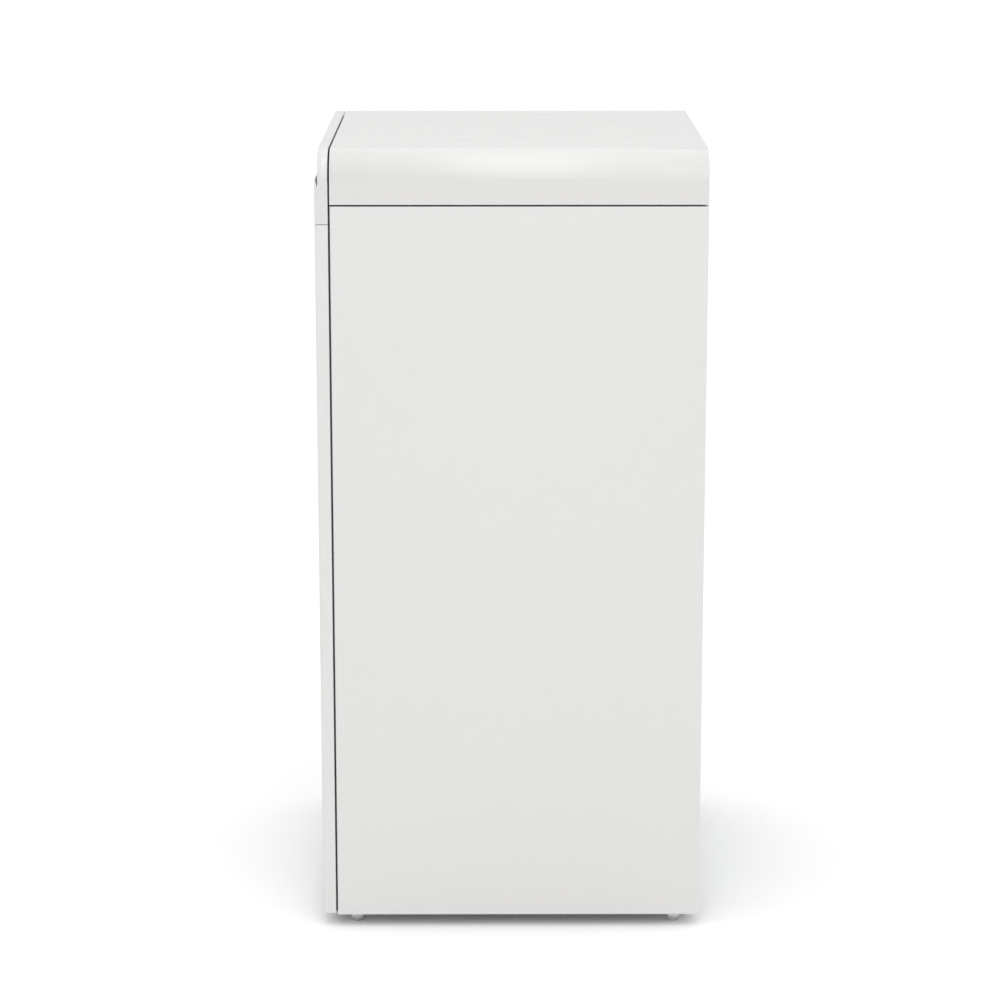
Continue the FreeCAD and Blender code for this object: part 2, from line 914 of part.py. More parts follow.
def circuit_board():
    """The control board, with two key switches and the rotary lock switch."""
    across = around("bezel_centre", "board_width / 2")
    board = block(across, ("board_front", "board_rear"), around("control_height", "board_height / 2"))
    switches = [
        block(
            around(place, "switch_side / 2"),
            ("board_front - switch_height", "board_front"),
            around("control_height", "switch_side / 2"),
        )
        for place in ("start_position", "stop_position")
    ]
    rotary = block(
        around("dial_position", "rotary_side / 2"),
        ("board_front - rotary_height", "board_front"),
        around("control_height", "rotary_side / 2"),
    )
    mouth = "board_front - rotary_height"
    socket = rod(
        "dial_shaft_radius + running_gap",
        "Y",
        ("dial_position", "control_height"),
        (f"{mouth} - {PAST}", f"{mouth} + rotary_socket"),
    )
    posts = []
    for sign in SIDES.values():
        place = (f"bezel_centre + {sign} * board_post_spread", "control_height")
        posts.append(rod("board_post_radius", "Y", place, ("board_rear", "front_rear")))
    keep("circuit_board", cut(join(board, *switches, rotary, *posts), socket))


def drawer_front():
    fascia()
    front_panel()
    front_liner()
    front_seal()
    control_bezel()
    place = ("lens_position", "control_height")
    keep("indicator_lens", rod("lens_radius", "Y", place, ("front_face + lens_inset", "bezel_rear")))
    keys()
    lock_dial()
    circuit_board()


# ---- drawer, bin and slides -------------------------------------------------------------------


def drawer_tray():
    """The steel carrier that holds the bin and hangs on the slides."""
    low = "bin_floor - tray_sheet"
    front_sheet = block(both("tray_side"), upward("liner_rear", "tray_sheet"), (low, "bin_top"))
    whole = block(both("tray_side"), ("liner_rear", "tray_rear"), upward(low, "tray_side_height"))
    hollow = block(
        both("tray_side - tray_sheet"),
        ("liner_rear + tray_sheet", "tray_rear - tray_sheet"),
        ("bin_floor", f"bin_floor + tray_side_height + {PAST}"),
    )
    wall = through("liner_rear", "liner_rear + tray_sheet")
    holes = [rod("bolt_hole_radius", "Y", place, wall) for place in front_bolt_places()]
    keep("drawer_tray", cut(join(front_sheet, cut(whole, hollow)), *holes))


def front_bolts():
    """Bolts that hold the tray to the drawer front."""
    seat = "liner_rear + tray_sheet"
    bolts = []
    for place in front_bolt_places():
        head = rod("bolt_head_radius", "Y", place, upward(seat, "bolt_head"))
        shank = rod("bolt_radius", "Y", place, (f"{seat} - bolt_reach", seat))
        bolts.append(join(head, shank))
    keep("front_bolts", group(*bolts))


def rounded_block(x, y, z, radius):
    """A box with its upright edges rounded."""
    return round_edges(block(x, y, z), radius, upright)


def waste_bin():
    """The open-topped bin, with rounded corners and a turned-out rim."""
    outer = rounded_block(
        both("bin_half_width"), ("bin_front", "bin_rear"), ("bin_floor", "bin_top"), "bin_corner"
    )
    rim = rounded_block(
        both("bin_half_width + bin_rim"),
        ("bin_front - bin_rim", "bin_rear + bin_rim"),
        ("bin_top - bin_rim_height", "bin_top"),
        "bin_corner + bin_rim",
    )
    inner = rounded_block(
        both("bin_half_width - bin_wall"),
        ("bin_front + bin_wall", "bin_rear - bin_wall"),
        ("bin_floor + bin_wall", f"bin_top + {PAST}"),
        "bin_corner - bin_wall",
    )
    keep("waste_bin", cut(join(outer, rim), inner))


def channel(x, z, opens_inward):
    """A slide member: a channel section that runs the slide's length, open to one side."""
    hollow_x = (f"{x[0]} + slide_sheet", f"{x[1]} + {PAST}")
    if opens_inward:
        hollow_x = (f"{x[0]} - {PAST}", f"{x[1]} - slide_sheet")
    hollow_z = (f"{z[0]} + slide_sheet", f"{z[1]} - slide_sheet")
    hollow = block(hollow_x, through("slide_front", "slide_rear"), hollow_z)
    return cut(block(x, ("slide_front", "slide_rear"), z), hollow)


def slides():
    """Three-part telescopic slides: outer on the frame, middle, and inner on the tray."""
    z = upward("slide_bottom", "slide_height")
    step = "slide_sheet + slide_play"
    outer_x = ("tray_side + slide_play", "web_inner")
    pair("slide_outer", channel(outer_x, z, True))
    middle_x = ("tray_side + slide_play", f"web_inner - ({step})")
    middle_z = (f"{z[0]} + {step}", f"{z[1]} - ({step})")
    pair("slide_middle", channel(middle_x, middle_z, True))
    inner_x = ("tray_side", f"web_inner - 2 * ({step})")
    inner_z = (f"{z[0]} + 2 * ({step})", f"{z[1]} - 2 * ({step})")
    pair("slide_inner", channel(inner_x, inner_z, False))


# ---- ram and power screws ---------------------------------------------------------------------


def ram():
    """The ram: a deep steel box that hangs under a cross beam."""
    box_y = ("ram_front", "ram_rear")
    outer = block(both("ram_half_width"), box_y, ("ram_bottom", "beam_bottom"))
    inner = block(
        both("ram_half_width - ram_wall"),
        ("ram_front + ram_wall", "ram_rear - ram_wall"),
        ("ram_bottom + ram_platen", f"beam_bottom + {PAST}"),
    )
    keep("ram_box", cut(outer, inner))
    beam_y = around("screw_line", "beam_half_width")
    beam = block(both("beam_half_length"), beam_y, ("beam_bottom", "beam_top"))
    trough = block(
        both("beam_pocket"),
        around("screw_line", "beam_half_width - beam_wall"),
        ("beam_bottom + beam_wall", f"beam_top + {PAST}"),
    )
    wall = through("beam_bottom", "beam_top")
    places = [(f"{sign} * screw_spread", "screw_line") for sign in SIDES.values()]
    bores = [rod("nut_radius", "Z", place, wall) for place in places]
    keep("ram_beam", cut(beam, trough, *bores))


def ram_nuts():
    """A flanged bronze nut at each end of the beam, its flange trimmed flush with the end."""
    place = ("screw_spread", "screw_line")
    sleeve = rod("nut_radius", "Z", place, ("nut_bottom", "beam_top"))
    flange = rod("nut_flange_radius", "Z", place, ("beam_bottom - nut_flange", "beam_bottom"))
    bore = rod("screw_radius + running_gap", "Z", place, through("nut_bottom", "beam_top"))
    overhang = block(
        ("beam_half_length", "web_inner"),
        around("screw_line", "nut_flange_radius"),
        ("nut_bottom", "beam_bottom"),
    )
    pair("ram_nut", cut(join(sleeve, flange), bore, overhang))


def power_screws():
    """The two lifting screws, with a journal at each end."""
    place = ("screw_spread", "screw_line")
    foot_low = "bracket_top + bearing_gap"
    foot_high = "bracket_top + bearing_height + bearing_gap"
    neck = "deck_bottom - 2 * bearing_gap"
    foot = rod("screw_foot_radius", "Z", place, (foot_low, foot_high))
    thread = rod("screw_radius", "Z", place, (foot_high, neck))
    journal = rod("screw_neck_radius", "Z", place, (neck, "sprocket_high + hub_rise"))
    pair("power_screw", join(foot, thread, journal))


def screw_bearings():
    """Plain bearings: one under each screw and one on the deck above it."""
    bearings = []
    for sign in SIDES.values():
        place = (f"{sign} * screw_spread", "screw_line")
        for low, radius in (("bracket_top", "screw_foot_radius"), ("deck_top", "screw_neck_radius")):
            span = upward(low, "bearing_height")
            bore = rod(f"{radius} + running_gap", "Z", place, through(*span))
            bearings.append(cut(rod("bearing_radius", "Z", place, span), bore))
    keep("screw_bearings", group(*bearings))


def screw_brackets():
    """An angle bracket on each side frame, under the foot of the screw."""
    along = around("screw_line", "bracket_half_length")
    shelf = block(("bracket_inner", "web_inner"), along, ("bracket_bottom", "bracket_top"))
    leg_x = ("web_inner - bracket_leg", "web_inner")
    leg = block(leg_x, along, upward("bracket_bottom", "bracket_leg_height"))
    pair("screw_bracket", join(shelf, leg))


def ring_places(count, radius, line, first_turn):
    """Places spread evenly on a circle whose centre is on the middle plane, as (x, y) formulas."""
    places = []
    for number in range(count):
        angle = 2 * math.pi * (first_turn + number / count)
        x = f"{math.cos(angle):.6f} * {radius}"
        places.append((x, f"{line} + {math.sin(angle):.6f} * {radius}"))
    return places


def motor_bolt_places():
    """The bolts that hang the motor under the deck, between its front, rear and sides."""
    count = SIZES["motor_bolt_count"]
    return ring_places(count, "motor_bolt_line", "motor_line", 1 / (2 * count))


def drive_deck():
    """The heavy plate that carries the drive, with turned-up edges."""
    along = ("inner_front", "inner_rear")
    pan = block(both("inside"), along, ("deck_bottom", "deck_top + deck_flange"))
    hollow = block(
        both("inside - deck_sheet"),
        ("inner_front + deck_sheet", "inner_rear - deck_sheet"),
        ("deck_top", f"deck_top + deck_flange + {PAST}"),
    )
    wall = through("deck_bottom", "deck_top")
    holes = [rod("shaft_hole_radius", "Z", ("0", "motor_line"), wall)]
    for sign in SIDES.values():
        place = (f"{sign} * screw_spread", "screw_line")
        holes.append(rod("screw_neck_radius + bearing_gap", "Z", place, wall))
    holes += [rod("bolt_radius", "Z", place, wall) for place in motor_bolt_places()]
    flange = through("inner_rear - deck_sheet", "inner_rear")
    holes += [rod("panel_screw_radius", "Y", place, flange) for place in screw_row("deck_row")]
    keep("drive_deck", cut(pan, hollow, *holes))


def motor_bolts():
    """Bolts through the deck into the motor's flange."""
    bolts = []
    for place in motor_bolt_places():
        head = rod("bolt_head_radius", "Z", place, upward("deck_top", "bolt_head"))
        shank = rod("bolt_radius", "Z", place, ("deck_bottom - motor_flange", "deck_top"))
        bolts.append(join(head, shank))
    keep("motor_bolts", group(*bolts))


# ---- chain drive ------------------------------------------------------------------------------


def arc_radius(teeth):
    """The radius on which a chain of the sheet's pitch lies round a sprocket."""
    return value("chain_pitch") * SIZES[teeth] / (2 * math.pi)


def chain_circles():
    """Centre and pitch radius of each sprocket, in the order in which the chain meets them."""
    screw = arc_radius("screw_teeth")
    spread, line = value("screw_spread"), value("screw_line")
    return [
        (Vector(-spread, line, 0), screw),
        (Vector(spread, line, 0), screw),
        (Vector(0, value("axle_line"), 0), arc_radius("drive_teeth")),
    ]


def chain_path():
    """Straight and curved stretches of the chain: (start, end) points, or (centre, radius, from, to)."""
    circles = chain_circles()
    normals = []
    for index, (centre, radius) in enumerate(circles):
        following, next_radius = circles[(index + 1) % len(circles)]
        run = following - centre
        lean = math.asin((next_radius - radius) / run.Length)
        normals.append(math.atan2(run.y, run.x) - math.pi / 2 - lean)
    path = []
    for index, (centre, radius) in enumerate(circles):
        arrive, leave = normals[index - 1], normals[index]
        while leave < arrive:
            leave += 2 * math.pi
        following, next_radius = circles[(index + 1) % len(circles)]
        path.append(("arc", centre, radius, arrive, leave))
        path.append(("line", polar(centre, radius, leave), polar(following, next_radius, leave)))
    return path


def polar(centre, radius, angle):
    return centre + Vector(math.cos(angle), math.sin(angle), 0) * radius


def stretch_length(stretch):
    if stretch[0] == "line":
        return (stretch[2] - stretch[1]).Length
    _, _, radius, start, end = stretch
    return radius * (end - start)


def rollers():
    """The centre of every roller, spread evenly along the path."""
    path = chain_path()
    total = sum(stretch_length(stretch) for stretch in path)
    count = round(total / value("chain_pitch"))
    spots = []
    for number in range(count):
        distance = number * total / count
        for stretch in path:
            length = stretch_length(stretch)
            if distance < length:
                break
            distance -= length
        if stretch[0] == "line":
            spots.append(stretch[1] + (stretch[2] - stretch[1]) * (distance / length))
        else:
            _, centre, radius, start, _ = stretch
            spots.append(polar(centre, radius, start + distance / radius))
    return spots


def sprocket_phase(centre, radius, spots):
    """The angle of the middle roller among those that lie on a sprocket."""
    seated = [spot for spot in spots if abs((spot - centre).Length - radius) < 0.01]
    spot = seated[len(seated) // 2]
    return math.degrees(math.atan2(spot.y - centre.y, spot.x - centre.x))


def band(offset):
    """The closed outline that runs beside the chain's path at an even distance."""
    edges = []
    for stretch in chain_path():
        if stretch[0] == "line":
            _, start, end = stretch
            run = end - start
            shift = Vector(run.y, -run.x, 0).normalize() * offset
            edges.append(Part.makeLine(start + shift, end + shift))
        else:
            _, centre, radius, start, end = stretch
            angles = (start, (start + end) / 2, end)
            points = [polar(centre, radius + offset, angle) for angle in angles]
            edges.append(Part.Arc(*points).toShape())
    return Part.Wire(edges)


def drive_chain():
    """The roller chain that turns both screws: two plate bands joined by their rollers."""
    half = value("plate_half_width")
    ring = Part.Face(band(half)).cut(Part.Face(band(-half)))
    low = value("sprocket_low - plate_gap")
    high = value("sprocket_high + plate_gap")
    thickness = value("plate_thickness")
    plates = [
        ring.translated(Vector(0, 0, base)).extrude(Vector(0, 0, thickness))
        for base in (low - thickness, high)
    ]
    radius = value("roller_radius")
    pins = [Part.makeCylinder(radius, high - low, spot + Vector(0, 0, low)) for spot in rollers()]
    thing = doc.addObject("Part::Feature", "Chain")
    thing.Shape = plates[0].multiFuse([plates[1]] + pins)
    keep("drive_chain", thing)


def sprocket(name, teeth, place, phase, bore, hub):
    """A sprocket disc with a roller seat for each tooth, on a hub."""
    body = new_body("Sprocket")
    pitch_radius = f"chain_pitch * {teeth} / (2 * pi)"
    disc = circle_pad(body, f"{pitch_radius} + tooth_height", "0", "sprocket_thickness")
    doc.recompute()
    seat = circle_sketch(body, "roller_seat", "sprocket_thickness", pitch_radius)
    first = pocket(body, seat, "sprocket_thickness")
    pattern = body.newObject("PartDesign::PolarPattern", "Seats")
    pattern.Originals = [first]
    pattern.Angle = 360
    pattern.setExpression("Occurrences", expression(teeth))
    axis = next(item for item in body.Origin.OriginFeatures if item.Role == "Z_Axis")
    pattern.Axis = (axis, [""])
    body.Tip = pattern
    doc.recompute()
    circle_pad(body, "hub_radius", hub[0], f"{hub[1]} - ({hub[0]})")
    doc.recompute()
    hole = circle_sketch(body, bore, hub[1], "0")
    pocket(body, hole, f"{hub[1]} - ({hub[0]})")
    body.Placement = Placement(Vector(), Rotation(Vector(0, 0, 1), phase))
    locate(body, place[0], place[1], "sprocket_low")
    return keep(name, body)


def circle_sketch(body, radius, height, distance):
    """A circle on the body's XY plane, raised to a height, with its centre on the X axis."""
    drawing = body.newObject("Sketcher::SketchObject", "Circle")
    plane = next(item for item in body.Origin.OriginFeatures if item.Role == "XY_Plane")
    drawing.AttachmentSupport = [(plane, "")]
    drawing.MapMode = "FlatFace"
    drawing.setExpression("AttachmentOffset.Base.z", expression(height))
    centre = Vector(value(distance), 0, 0)
    drawing.addGeometry(Part.Circle(centre, Vector(0, 0, 1), value(radius)))
    number = drawing.addConstraint(Sketcher.Constraint("Radius", 0, value(radius)))
    drawing.setExpression(f"Constraints[{number}]", expression(radius))
    drawing.setExpression("AttachmentOffset.Base.x", expression(f"{distance} - ({centre.x})"))
    return drawing


def circle_pad(body, radius, height, length):
    return pad(body, circle_sketch(body, radius, height, "0"), length)


def sprockets():
    spots = rollers()
    circles = chain_circles()
    hub = ("-(sprocket_rise - bearing_height - bearing_gap)", "sprocket_thickness + hub_rise")
    for (centre, radius), side in zip(circles[:2], ("left", "right")):
        phase = sprocket_phase(centre, radius, spots)
        place = (f"{SIDES[side]} * screw_spread", "screw_line")
        sprocket(f"screw_sprocket_{side}", "screw_teeth", place, phase, "screw_neck_radius", hub)
    centre, radius = circles[2]
    phase = sprocket_phase(centre, radius, spots)
    hub = ("-(sprocket_rise - axle_base - bearing_gap)", "gear_rise - sprocket_rise")
    bore = "axle_radius + running_gap"
    sprocket("drive_sprocket", "drive_teeth", ("0", "axle_line"), phase, bore, hub)


# ---- gear train and motor ---------------------------------------------------------------------


def involute_gear(teeth, centre, low, height, phase):
    """A spur gear of the sheet's module; one tooth's middle is at the phase angle, in radians."""
    module = value("gear_module")
    pressure = math.radians(value("pressure_angle"))
    pitch = module * teeth / 2
    base = pitch * math.cos(pressure)
    tip = pitch + value("addendum") * module
    root = pitch - value("dedendum") * module
    half_tooth = (math.pi * module / 2 - value("backlash")) / 2 / pitch
    start = max(base, root)

    def spread(radius):
        """Half the angle that a tooth takes at a radius."""
        unrolled = math.acos(min(1, base / radius))
        curve = math.tan(unrolled) - unrolled
        at_pitch = math.tan(pressure) - pressure
        return half_tooth + at_pitch - curve

    edges = []
    step = 2 * math.pi / teeth
    middle = (start + tip) / 2
    for number in range(teeth):
        axis = phase + number * step
        rise = [polar(centre, radius, axis - spread(radius)) for radius in (start, middle, tip)]
        fall = [polar(centre, radius, axis + spread(radius)) for radius in (tip, middle, start)]
        foot = polar(centre, root, axis - spread(start))
        heel = polar(centre, root, axis + spread(start))
        following = polar(centre, root, axis + step - spread(start))
        if start > root:
            edges.append(Part.makeLine(foot, rise[0]))
        edges.append(Part.Arc(*rise).toShape())
        edges.append(Part.makeLine(rise[2], fall[0]))
        edges.append(Part.Arc(*fall).toShape())
        if start > root:
            edges.append(Part.makeLine(fall[2], heel))
        edges.append(Part.makeLine(heel, following))
    face = Part.Face(Part.Wire(edges))
    face.translate(Vector(0, 0, low))
    return face.extrude(Vector(0, 0, height))


def drive_gear():
    """The large gear on the axle, with lightening holes and a short hub."""
    centre = Vector(0, value("axle_line"), 0)
    thing = doc.addObject("Part::Feature", "GearTeeth")
    low, height = value("gear_low"), value("gear_thickness")
    thing.Shape = involute_gear(SIZES["gear_teeth"], centre, low, height, math.pi / 2)
    place = ("0", "axle_line")
    hub = rod("gear_hub_radius", "Z", place, ("gear_high", "gear_high + gear_hub"))
    bore = rod("axle_radius + running_gap", "Z", place, through("gear_low", "gear_high + gear_hub"))
    spots = ring_places(SIZES["gear_windows"], "gear_window_line", "axle_line", 0)
    wall = through("gear_low", "gear_high")
    windows = [rod("gear_window_radius", "Z", spot, wall) for spot in spots]
    keep("drive_gear", cut(join(thing, hub), bore, *windows))


def gear_axle():
    """The fixed pin on the deck that the gear and its sprocket turn on."""
    place = ("0", "axle_line")
    base = rod("axle_base_radius", "Z", place, upward("deck_top", "axle_base"))
    pin = rod("axle_radius", "Z", place, ("deck_top + axle_base", "gear_high + gear_hub + axle_end"))
    keep("gear_axle", join(base, pin))


def motor():
    """The motor under the deck: a closed can, and a rotor whose shaft carries the pinion."""
    place = ("0", "motor_line")
    can = rod("motor_radius", "Z", place, ("motor_bottom", "deck_bottom"))
    flange = rod("motor_flange_radius", "Z", place, ("deck_bottom - motor_flange", "deck_bottom"))
    space = ("motor_bottom + motor_end", "deck_bottom - motor_end")
    hollow = rod("motor_radius - motor_wall", "Z", place, space)
    bore = rod("motor_bore", "Z", place, ("motor_bottom + motor_cap", f"deck_bottom + {PAST}"))
    seat = ("deck_bottom - motor_flange", f"deck_bottom + {PAST}")
    holes = [rod("bolt_radius", "Z", spot, seat) for spot in motor_bolt_places()]
    keep("motor_housing", cut(join(can, flange), hollow, bore, *holes))
    span = (f"{space[0]} + rotor_margin", f"{space[1]} - rotor_margin")
    core = rod("motor_radius - motor_wall - rotor_gap", "Z", place, span)
    tip = "gear_high + pinion_extra"
    shaft = rod("shaft_radius", "Z", place, ("motor_bottom + shaft_start", tip))
    pinion = doc.addObject("Part::Feature", "Pinion")
    centre = Vector(0, value("motor_line"), 0)
    low = value("gear_low - pinion_extra")
    height = value("gear_thickness + 2 * pinion_extra")
    half_step = math.pi / SIZES["pinion_teeth"]
    pinion.Shape = involute_gear(SIZES["pinion_teeth"], centre, low, height, half_step - math.pi / 2)
    keep("motor_rotor", join(core, shaft, pinion))


def drive():
    drive_deck()
    screw_brackets()
    screw_bearings()
    power_screws()
    ram()
    ram_nuts()
    sprockets()
    drive_chain()
    gear_axle()
    drive_gear()
    motor()
    motor_bolts()


# ---- electrics and ventilation ----------------------------------------------------------------


def capacitor():
    """The motor's run capacitor, standing on the underside of the deck."""
    place = ("capacitor_x", "capacitor_y")
    low = "deck_bottom - capacitor_length"
    can = rod("capacitor_radius", "Z", place, (low, "deck_bottom"))
    tag_span = (f"{low} - terminal_length", low)
    spots = [(f"capacitor_x + {sign} * terminal_spread", "capacitor_y") for sign in SIDES.values()]
    tags = [rod("terminal_radius", "Z", spot, tag_span) for spot in spots]
    keep("capacitor", join(can, *tags))


def control_box():
    """The relay box under the deck, closed by the deck itself."""
    x, y = ("box_left", "box_right"), ("box_front", "box_rear")
    inner = block(
        ("box_left + box_wall", "box_right - box_wall"),
        ("box_front + box_wall", "box_rear - box_wall"),
        ("box_bottom + box_wall", f"deck_bottom + {PAST}"),
    )
    keep("control_box", cut(block(x, y, ("box_bottom", "deck_bottom")), inner))


def fan():
    """The exhaust fan on the back panel, with its filter in front of it."""
    place = ("0", "fan_centre")
    square = both("fan_half_side"), around("fan_centre", "fan_half_side")
    frame = block(square[0], ("fan_front", "inner_rear"), square[1])
    bore = rod("fan_bore", "Y", place, through("fan_front", "inner_rear"))
    behind = ("inner_rear - fan_back", "inner_rear")
    boss = rod("fan_boss", "Y", place, behind)
    struts = [
        block(both("fan_strut_reach"), behind, around("fan_centre", "fan_strut / 2")),
        block(both("fan_strut / 2"), behind, around("fan_centre", "fan_strut_reach")),
    ]
    pin_tip = "blade_front + fan_pin_inset"
    pin = rod("fan_pin", "Y", place, (pin_tip, "inner_rear - fan_back"))
    keep("fan_housing", join(cut(frame, bore), boss, *struts, pin))
    span = ("blade_front", "blade_rear")
    hub = rod("fan_hub", "Y", place, span)
    pin_hole = rod("fan_pin + running_gap", "Y", place, (f"{pin_tip} - fit_gap", "inner_rear"))
    tips = rod("fan_tip", "Y", place, span)
    wide = [fan_blade(number) for number in range(SIZES["fan_blades"])]
    trimmed = doc.addObject("Part::MultiCommon", "Trimmed")
    trimmed.Shapes = [tips, join(*wide)]
    keep("fan_rotor", cut(join(hub, trimmed), pin_hole))


def fan_blade(number):
    """One flat blade, tilted about its own length and turned to its place round the hub."""
    turn = Rotation(Vector(0, 1, 0), 360 * number / SIZES["fan_blades"])
    tilt = Rotation(Vector(1, 0, 0), value("fan_blade_tilt"))
    thing = doc.addObject("Part::Box", "Blade")
    bind(thing, Length="fan_tip", Width="fan_blade_chord", Height="fan_blade_thickness")
    chord, thickness = value("fan_blade_chord"), value("fan_blade_thickness")
    centred = Placement(Vector(0, -chord / 2, -thickness / 2), Rotation())
    middle = Vector(0, value("(blade_front + blade_rear) / 2"), value("fan_centre"))
    thing.Placement = Placement(middle, turn.multiply(tilt)).multiply(centred)
    return thing


def filter_cartridge():
    """A square filter frame with a grid of cells, in front of the fan."""
    y = ("fan_front - filter_depth", "fan_front")
    side = "filter_half_side"
    frame = block(both(side), y, around("fan_centre", side))
    step = "(filter_cell + filter_web)"
    reach = SIZES["filter_cells"] // 2
    cells = []
    for column in range(-reach, reach + 1):
        for row in range(-reach, reach + 1):
            across = around(f"{column} * {step}", "filter_cell / 2")
            up = around(f"(fan_centre + {row} * {step})", "filter_cell / 2")
            cells.append(block(across, through(*y), up))
    keep("filter_cartridge", cut(frame, *cells))


def power_inlet():
    """A three-pin appliance inlet let into the back panel."""
    body = block(
        around("inlet_x", "inlet_half_width"),
        ("back_face - inlet_depth", "back_face"),
        around("inlet_z", "inlet_half_height"),
    )
    flange = block(
        around("inlet_x", "inlet_flange_half_width"),
        upward("back_face", "inlet_flange"),
        around("inlet_z", "inlet_flange_half_height"),
    )
    mouth = ("back_face - inlet_cavity", f"back_face + inlet_flange + {PAST}")
    cavity = block(
        around("inlet_x", "inlet_half_width - inlet_wall"),
        mouth,
        around("inlet_z", "inlet_half_height - inlet_wall"),
    )
    pin_span = ("back_face - inlet_depth", "back_face - inlet_pin_inset")
    spots = [(f"inlet_x + {step} * inlet_pin_spacing", "inlet_z") for step in (-1, 0, 1)]
    pins = [rod("inlet_pin", "Y", spot, pin_span) for spot in spots]
    keep("power_inlet", join(cut(join(body, flange), cavity), *pins))


def contacts_and_switch():
    """The contact strip that the drawer's plug meets, and the drawer's safety switch."""
    strip = block(
        around("contact_x", "contact_half_width"),
        ("inner_front - contact_depth", "inner_front"),
        upward("contact_bottom", "contact_height"),
    )
    keep("contact_socket", strip)
    across = around("micro_x", "micro_width / 2")
    along = upward("micro_front", "micro_length")
    case = block(across, along, ("deck_bottom - micro_height", "deck_bottom"))
    place = ("micro_x", "deck_bottom - micro_height / 2")
    plunger = rod("plunger_radius", "Y", place, ("micro_front - plunger_reach", "micro_front"))
    keep("drawer_switch", join(case, plunger))


def electrics():
    capacitor()
    control_box()
    fan()
    filter_cartridge()
    power_inlet()
    contacts_and_switch()


# ---- build, check and export ------------------------------------------------------------------


def drawer():
    drawer_tray()
    front_bolts()
    waste_bin()
    slides()


def export():
    """Check every object and sub-part, then write one STEP file for each sub-part."""
    doc.recompute()
    failed = [thing.Label for thing in doc.Objects if {"Invalid", "Error"} & set(thing.State)]
    broken = [part.Label for part in subparts if part.Shape.isNull() or not part.Shape.isValid()]
    if failed or broken:
        raise ValueError(f"failed: {failed}, broken: {broken}")
    os.makedirs("parts", exist_ok=True)
    for part in subparts:
        part.Shape.exportStep(f"parts/{part.Label}.step")
        box = part.Shape.BoundBox
        spans = (box.XMin, box.XMax, box.YMin, box.YMax, box.ZMin, box.ZMax)
        print(part.Label, len(part.Shape.Solids), *(round(span, 1) for span in spans))
    print(len(subparts), "sub-parts")


cabinet()
drawer_front()
drawer()
drive()
electrics()
export()
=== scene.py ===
"""The looks of a freestanding trash compactor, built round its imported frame.

Metres, +Z up. The front faces -Y and the camera looks at the machine's right-hand side.
"""

import math

import bmesh
import bpy
from mathutils import Matrix, Vector


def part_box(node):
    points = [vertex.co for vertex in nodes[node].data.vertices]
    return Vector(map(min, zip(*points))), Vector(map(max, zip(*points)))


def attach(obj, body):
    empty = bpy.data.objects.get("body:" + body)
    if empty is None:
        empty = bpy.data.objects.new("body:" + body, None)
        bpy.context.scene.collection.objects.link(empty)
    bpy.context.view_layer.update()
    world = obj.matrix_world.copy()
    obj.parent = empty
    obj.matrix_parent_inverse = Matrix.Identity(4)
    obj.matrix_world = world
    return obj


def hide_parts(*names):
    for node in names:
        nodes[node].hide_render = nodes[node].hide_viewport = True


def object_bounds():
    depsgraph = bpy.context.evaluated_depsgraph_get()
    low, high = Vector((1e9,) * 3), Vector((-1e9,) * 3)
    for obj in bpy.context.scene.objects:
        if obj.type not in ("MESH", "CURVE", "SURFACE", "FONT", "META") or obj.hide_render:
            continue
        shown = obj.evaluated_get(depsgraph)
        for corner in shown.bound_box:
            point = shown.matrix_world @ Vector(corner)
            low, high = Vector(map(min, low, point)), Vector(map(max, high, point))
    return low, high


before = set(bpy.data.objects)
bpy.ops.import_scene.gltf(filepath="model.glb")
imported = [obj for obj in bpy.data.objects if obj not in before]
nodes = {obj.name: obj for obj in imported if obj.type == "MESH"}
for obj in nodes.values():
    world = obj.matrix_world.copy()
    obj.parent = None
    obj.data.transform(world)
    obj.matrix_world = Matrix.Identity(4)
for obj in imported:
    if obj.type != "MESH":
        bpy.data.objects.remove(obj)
cad_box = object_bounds()
MM = 0.001
SIDES = ("left", "right")

# ---- stage ------------------------------------------------------------------------------------

CAMERA_LENS = 112
CAMERA_PLACE = Vector((3.507, -0.0245, 1.233))
CAMERA_YAW = math.radians(0.211)
CAMERA_PITCH = math.radians(12.804)
FLOOR_HALF = 60.0
SURROUND = {"From Min": 0.1, "From Max": 0.6, "To Min": 0.79, "To Max": 1.1}
SOFT_BOXES = {
    "overhead": {"place": (0.4, 0.0, 2.2), "size": (0.6, 2.8), "power": 3},
    "shoulder": {"place": (1.3, 0.0, 2.2), "size": (0.8, 2.8), "power": 8},
    "side": {"place": (2.6, 2.6, 2.6), "size": (2.6, 2.6), "power": 10},
}


def make_camera():
    """Looks along -X at the right-hand side, from a little above."""
    data = bpy.data.cameras.new("camera")
    data.lens = CAMERA_LENS
    camera = bpy.data.objects.new("camera", data)
    bpy.context.scene.collection.objects.link(camera)
    level = math.cos(CAMERA_PITCH)
    aim = Vector((-math.cos(CAMERA_YAW) * level, math.sin(CAMERA_YAW) * level, -math.sin(CAMERA_PITCH)))
    camera.location = CAMERA_PLACE
    camera.rotation_euler = aim.to_track_quat("-Z", "Y").to_euler()
    bpy.context.scene.camera = camera


def area_light(name, target, place, size, power):
    """A soft box that faces a target and isn't seen itself."""
    data = bpy.data.lights.new(name, "AREA")
    data.shape = "RECTANGLE"
    data.size, data.size_y = size
    data.energy = power
    light = bpy.data.objects.new(name, data)
    light.location = place
    light.visible_camera = False
    light.rotation_euler = (Vector(target) - Vector(place)).to_track_quat("-Z", "Y").to_euler()
    bpy.context.scene.collection.objects.link(light)


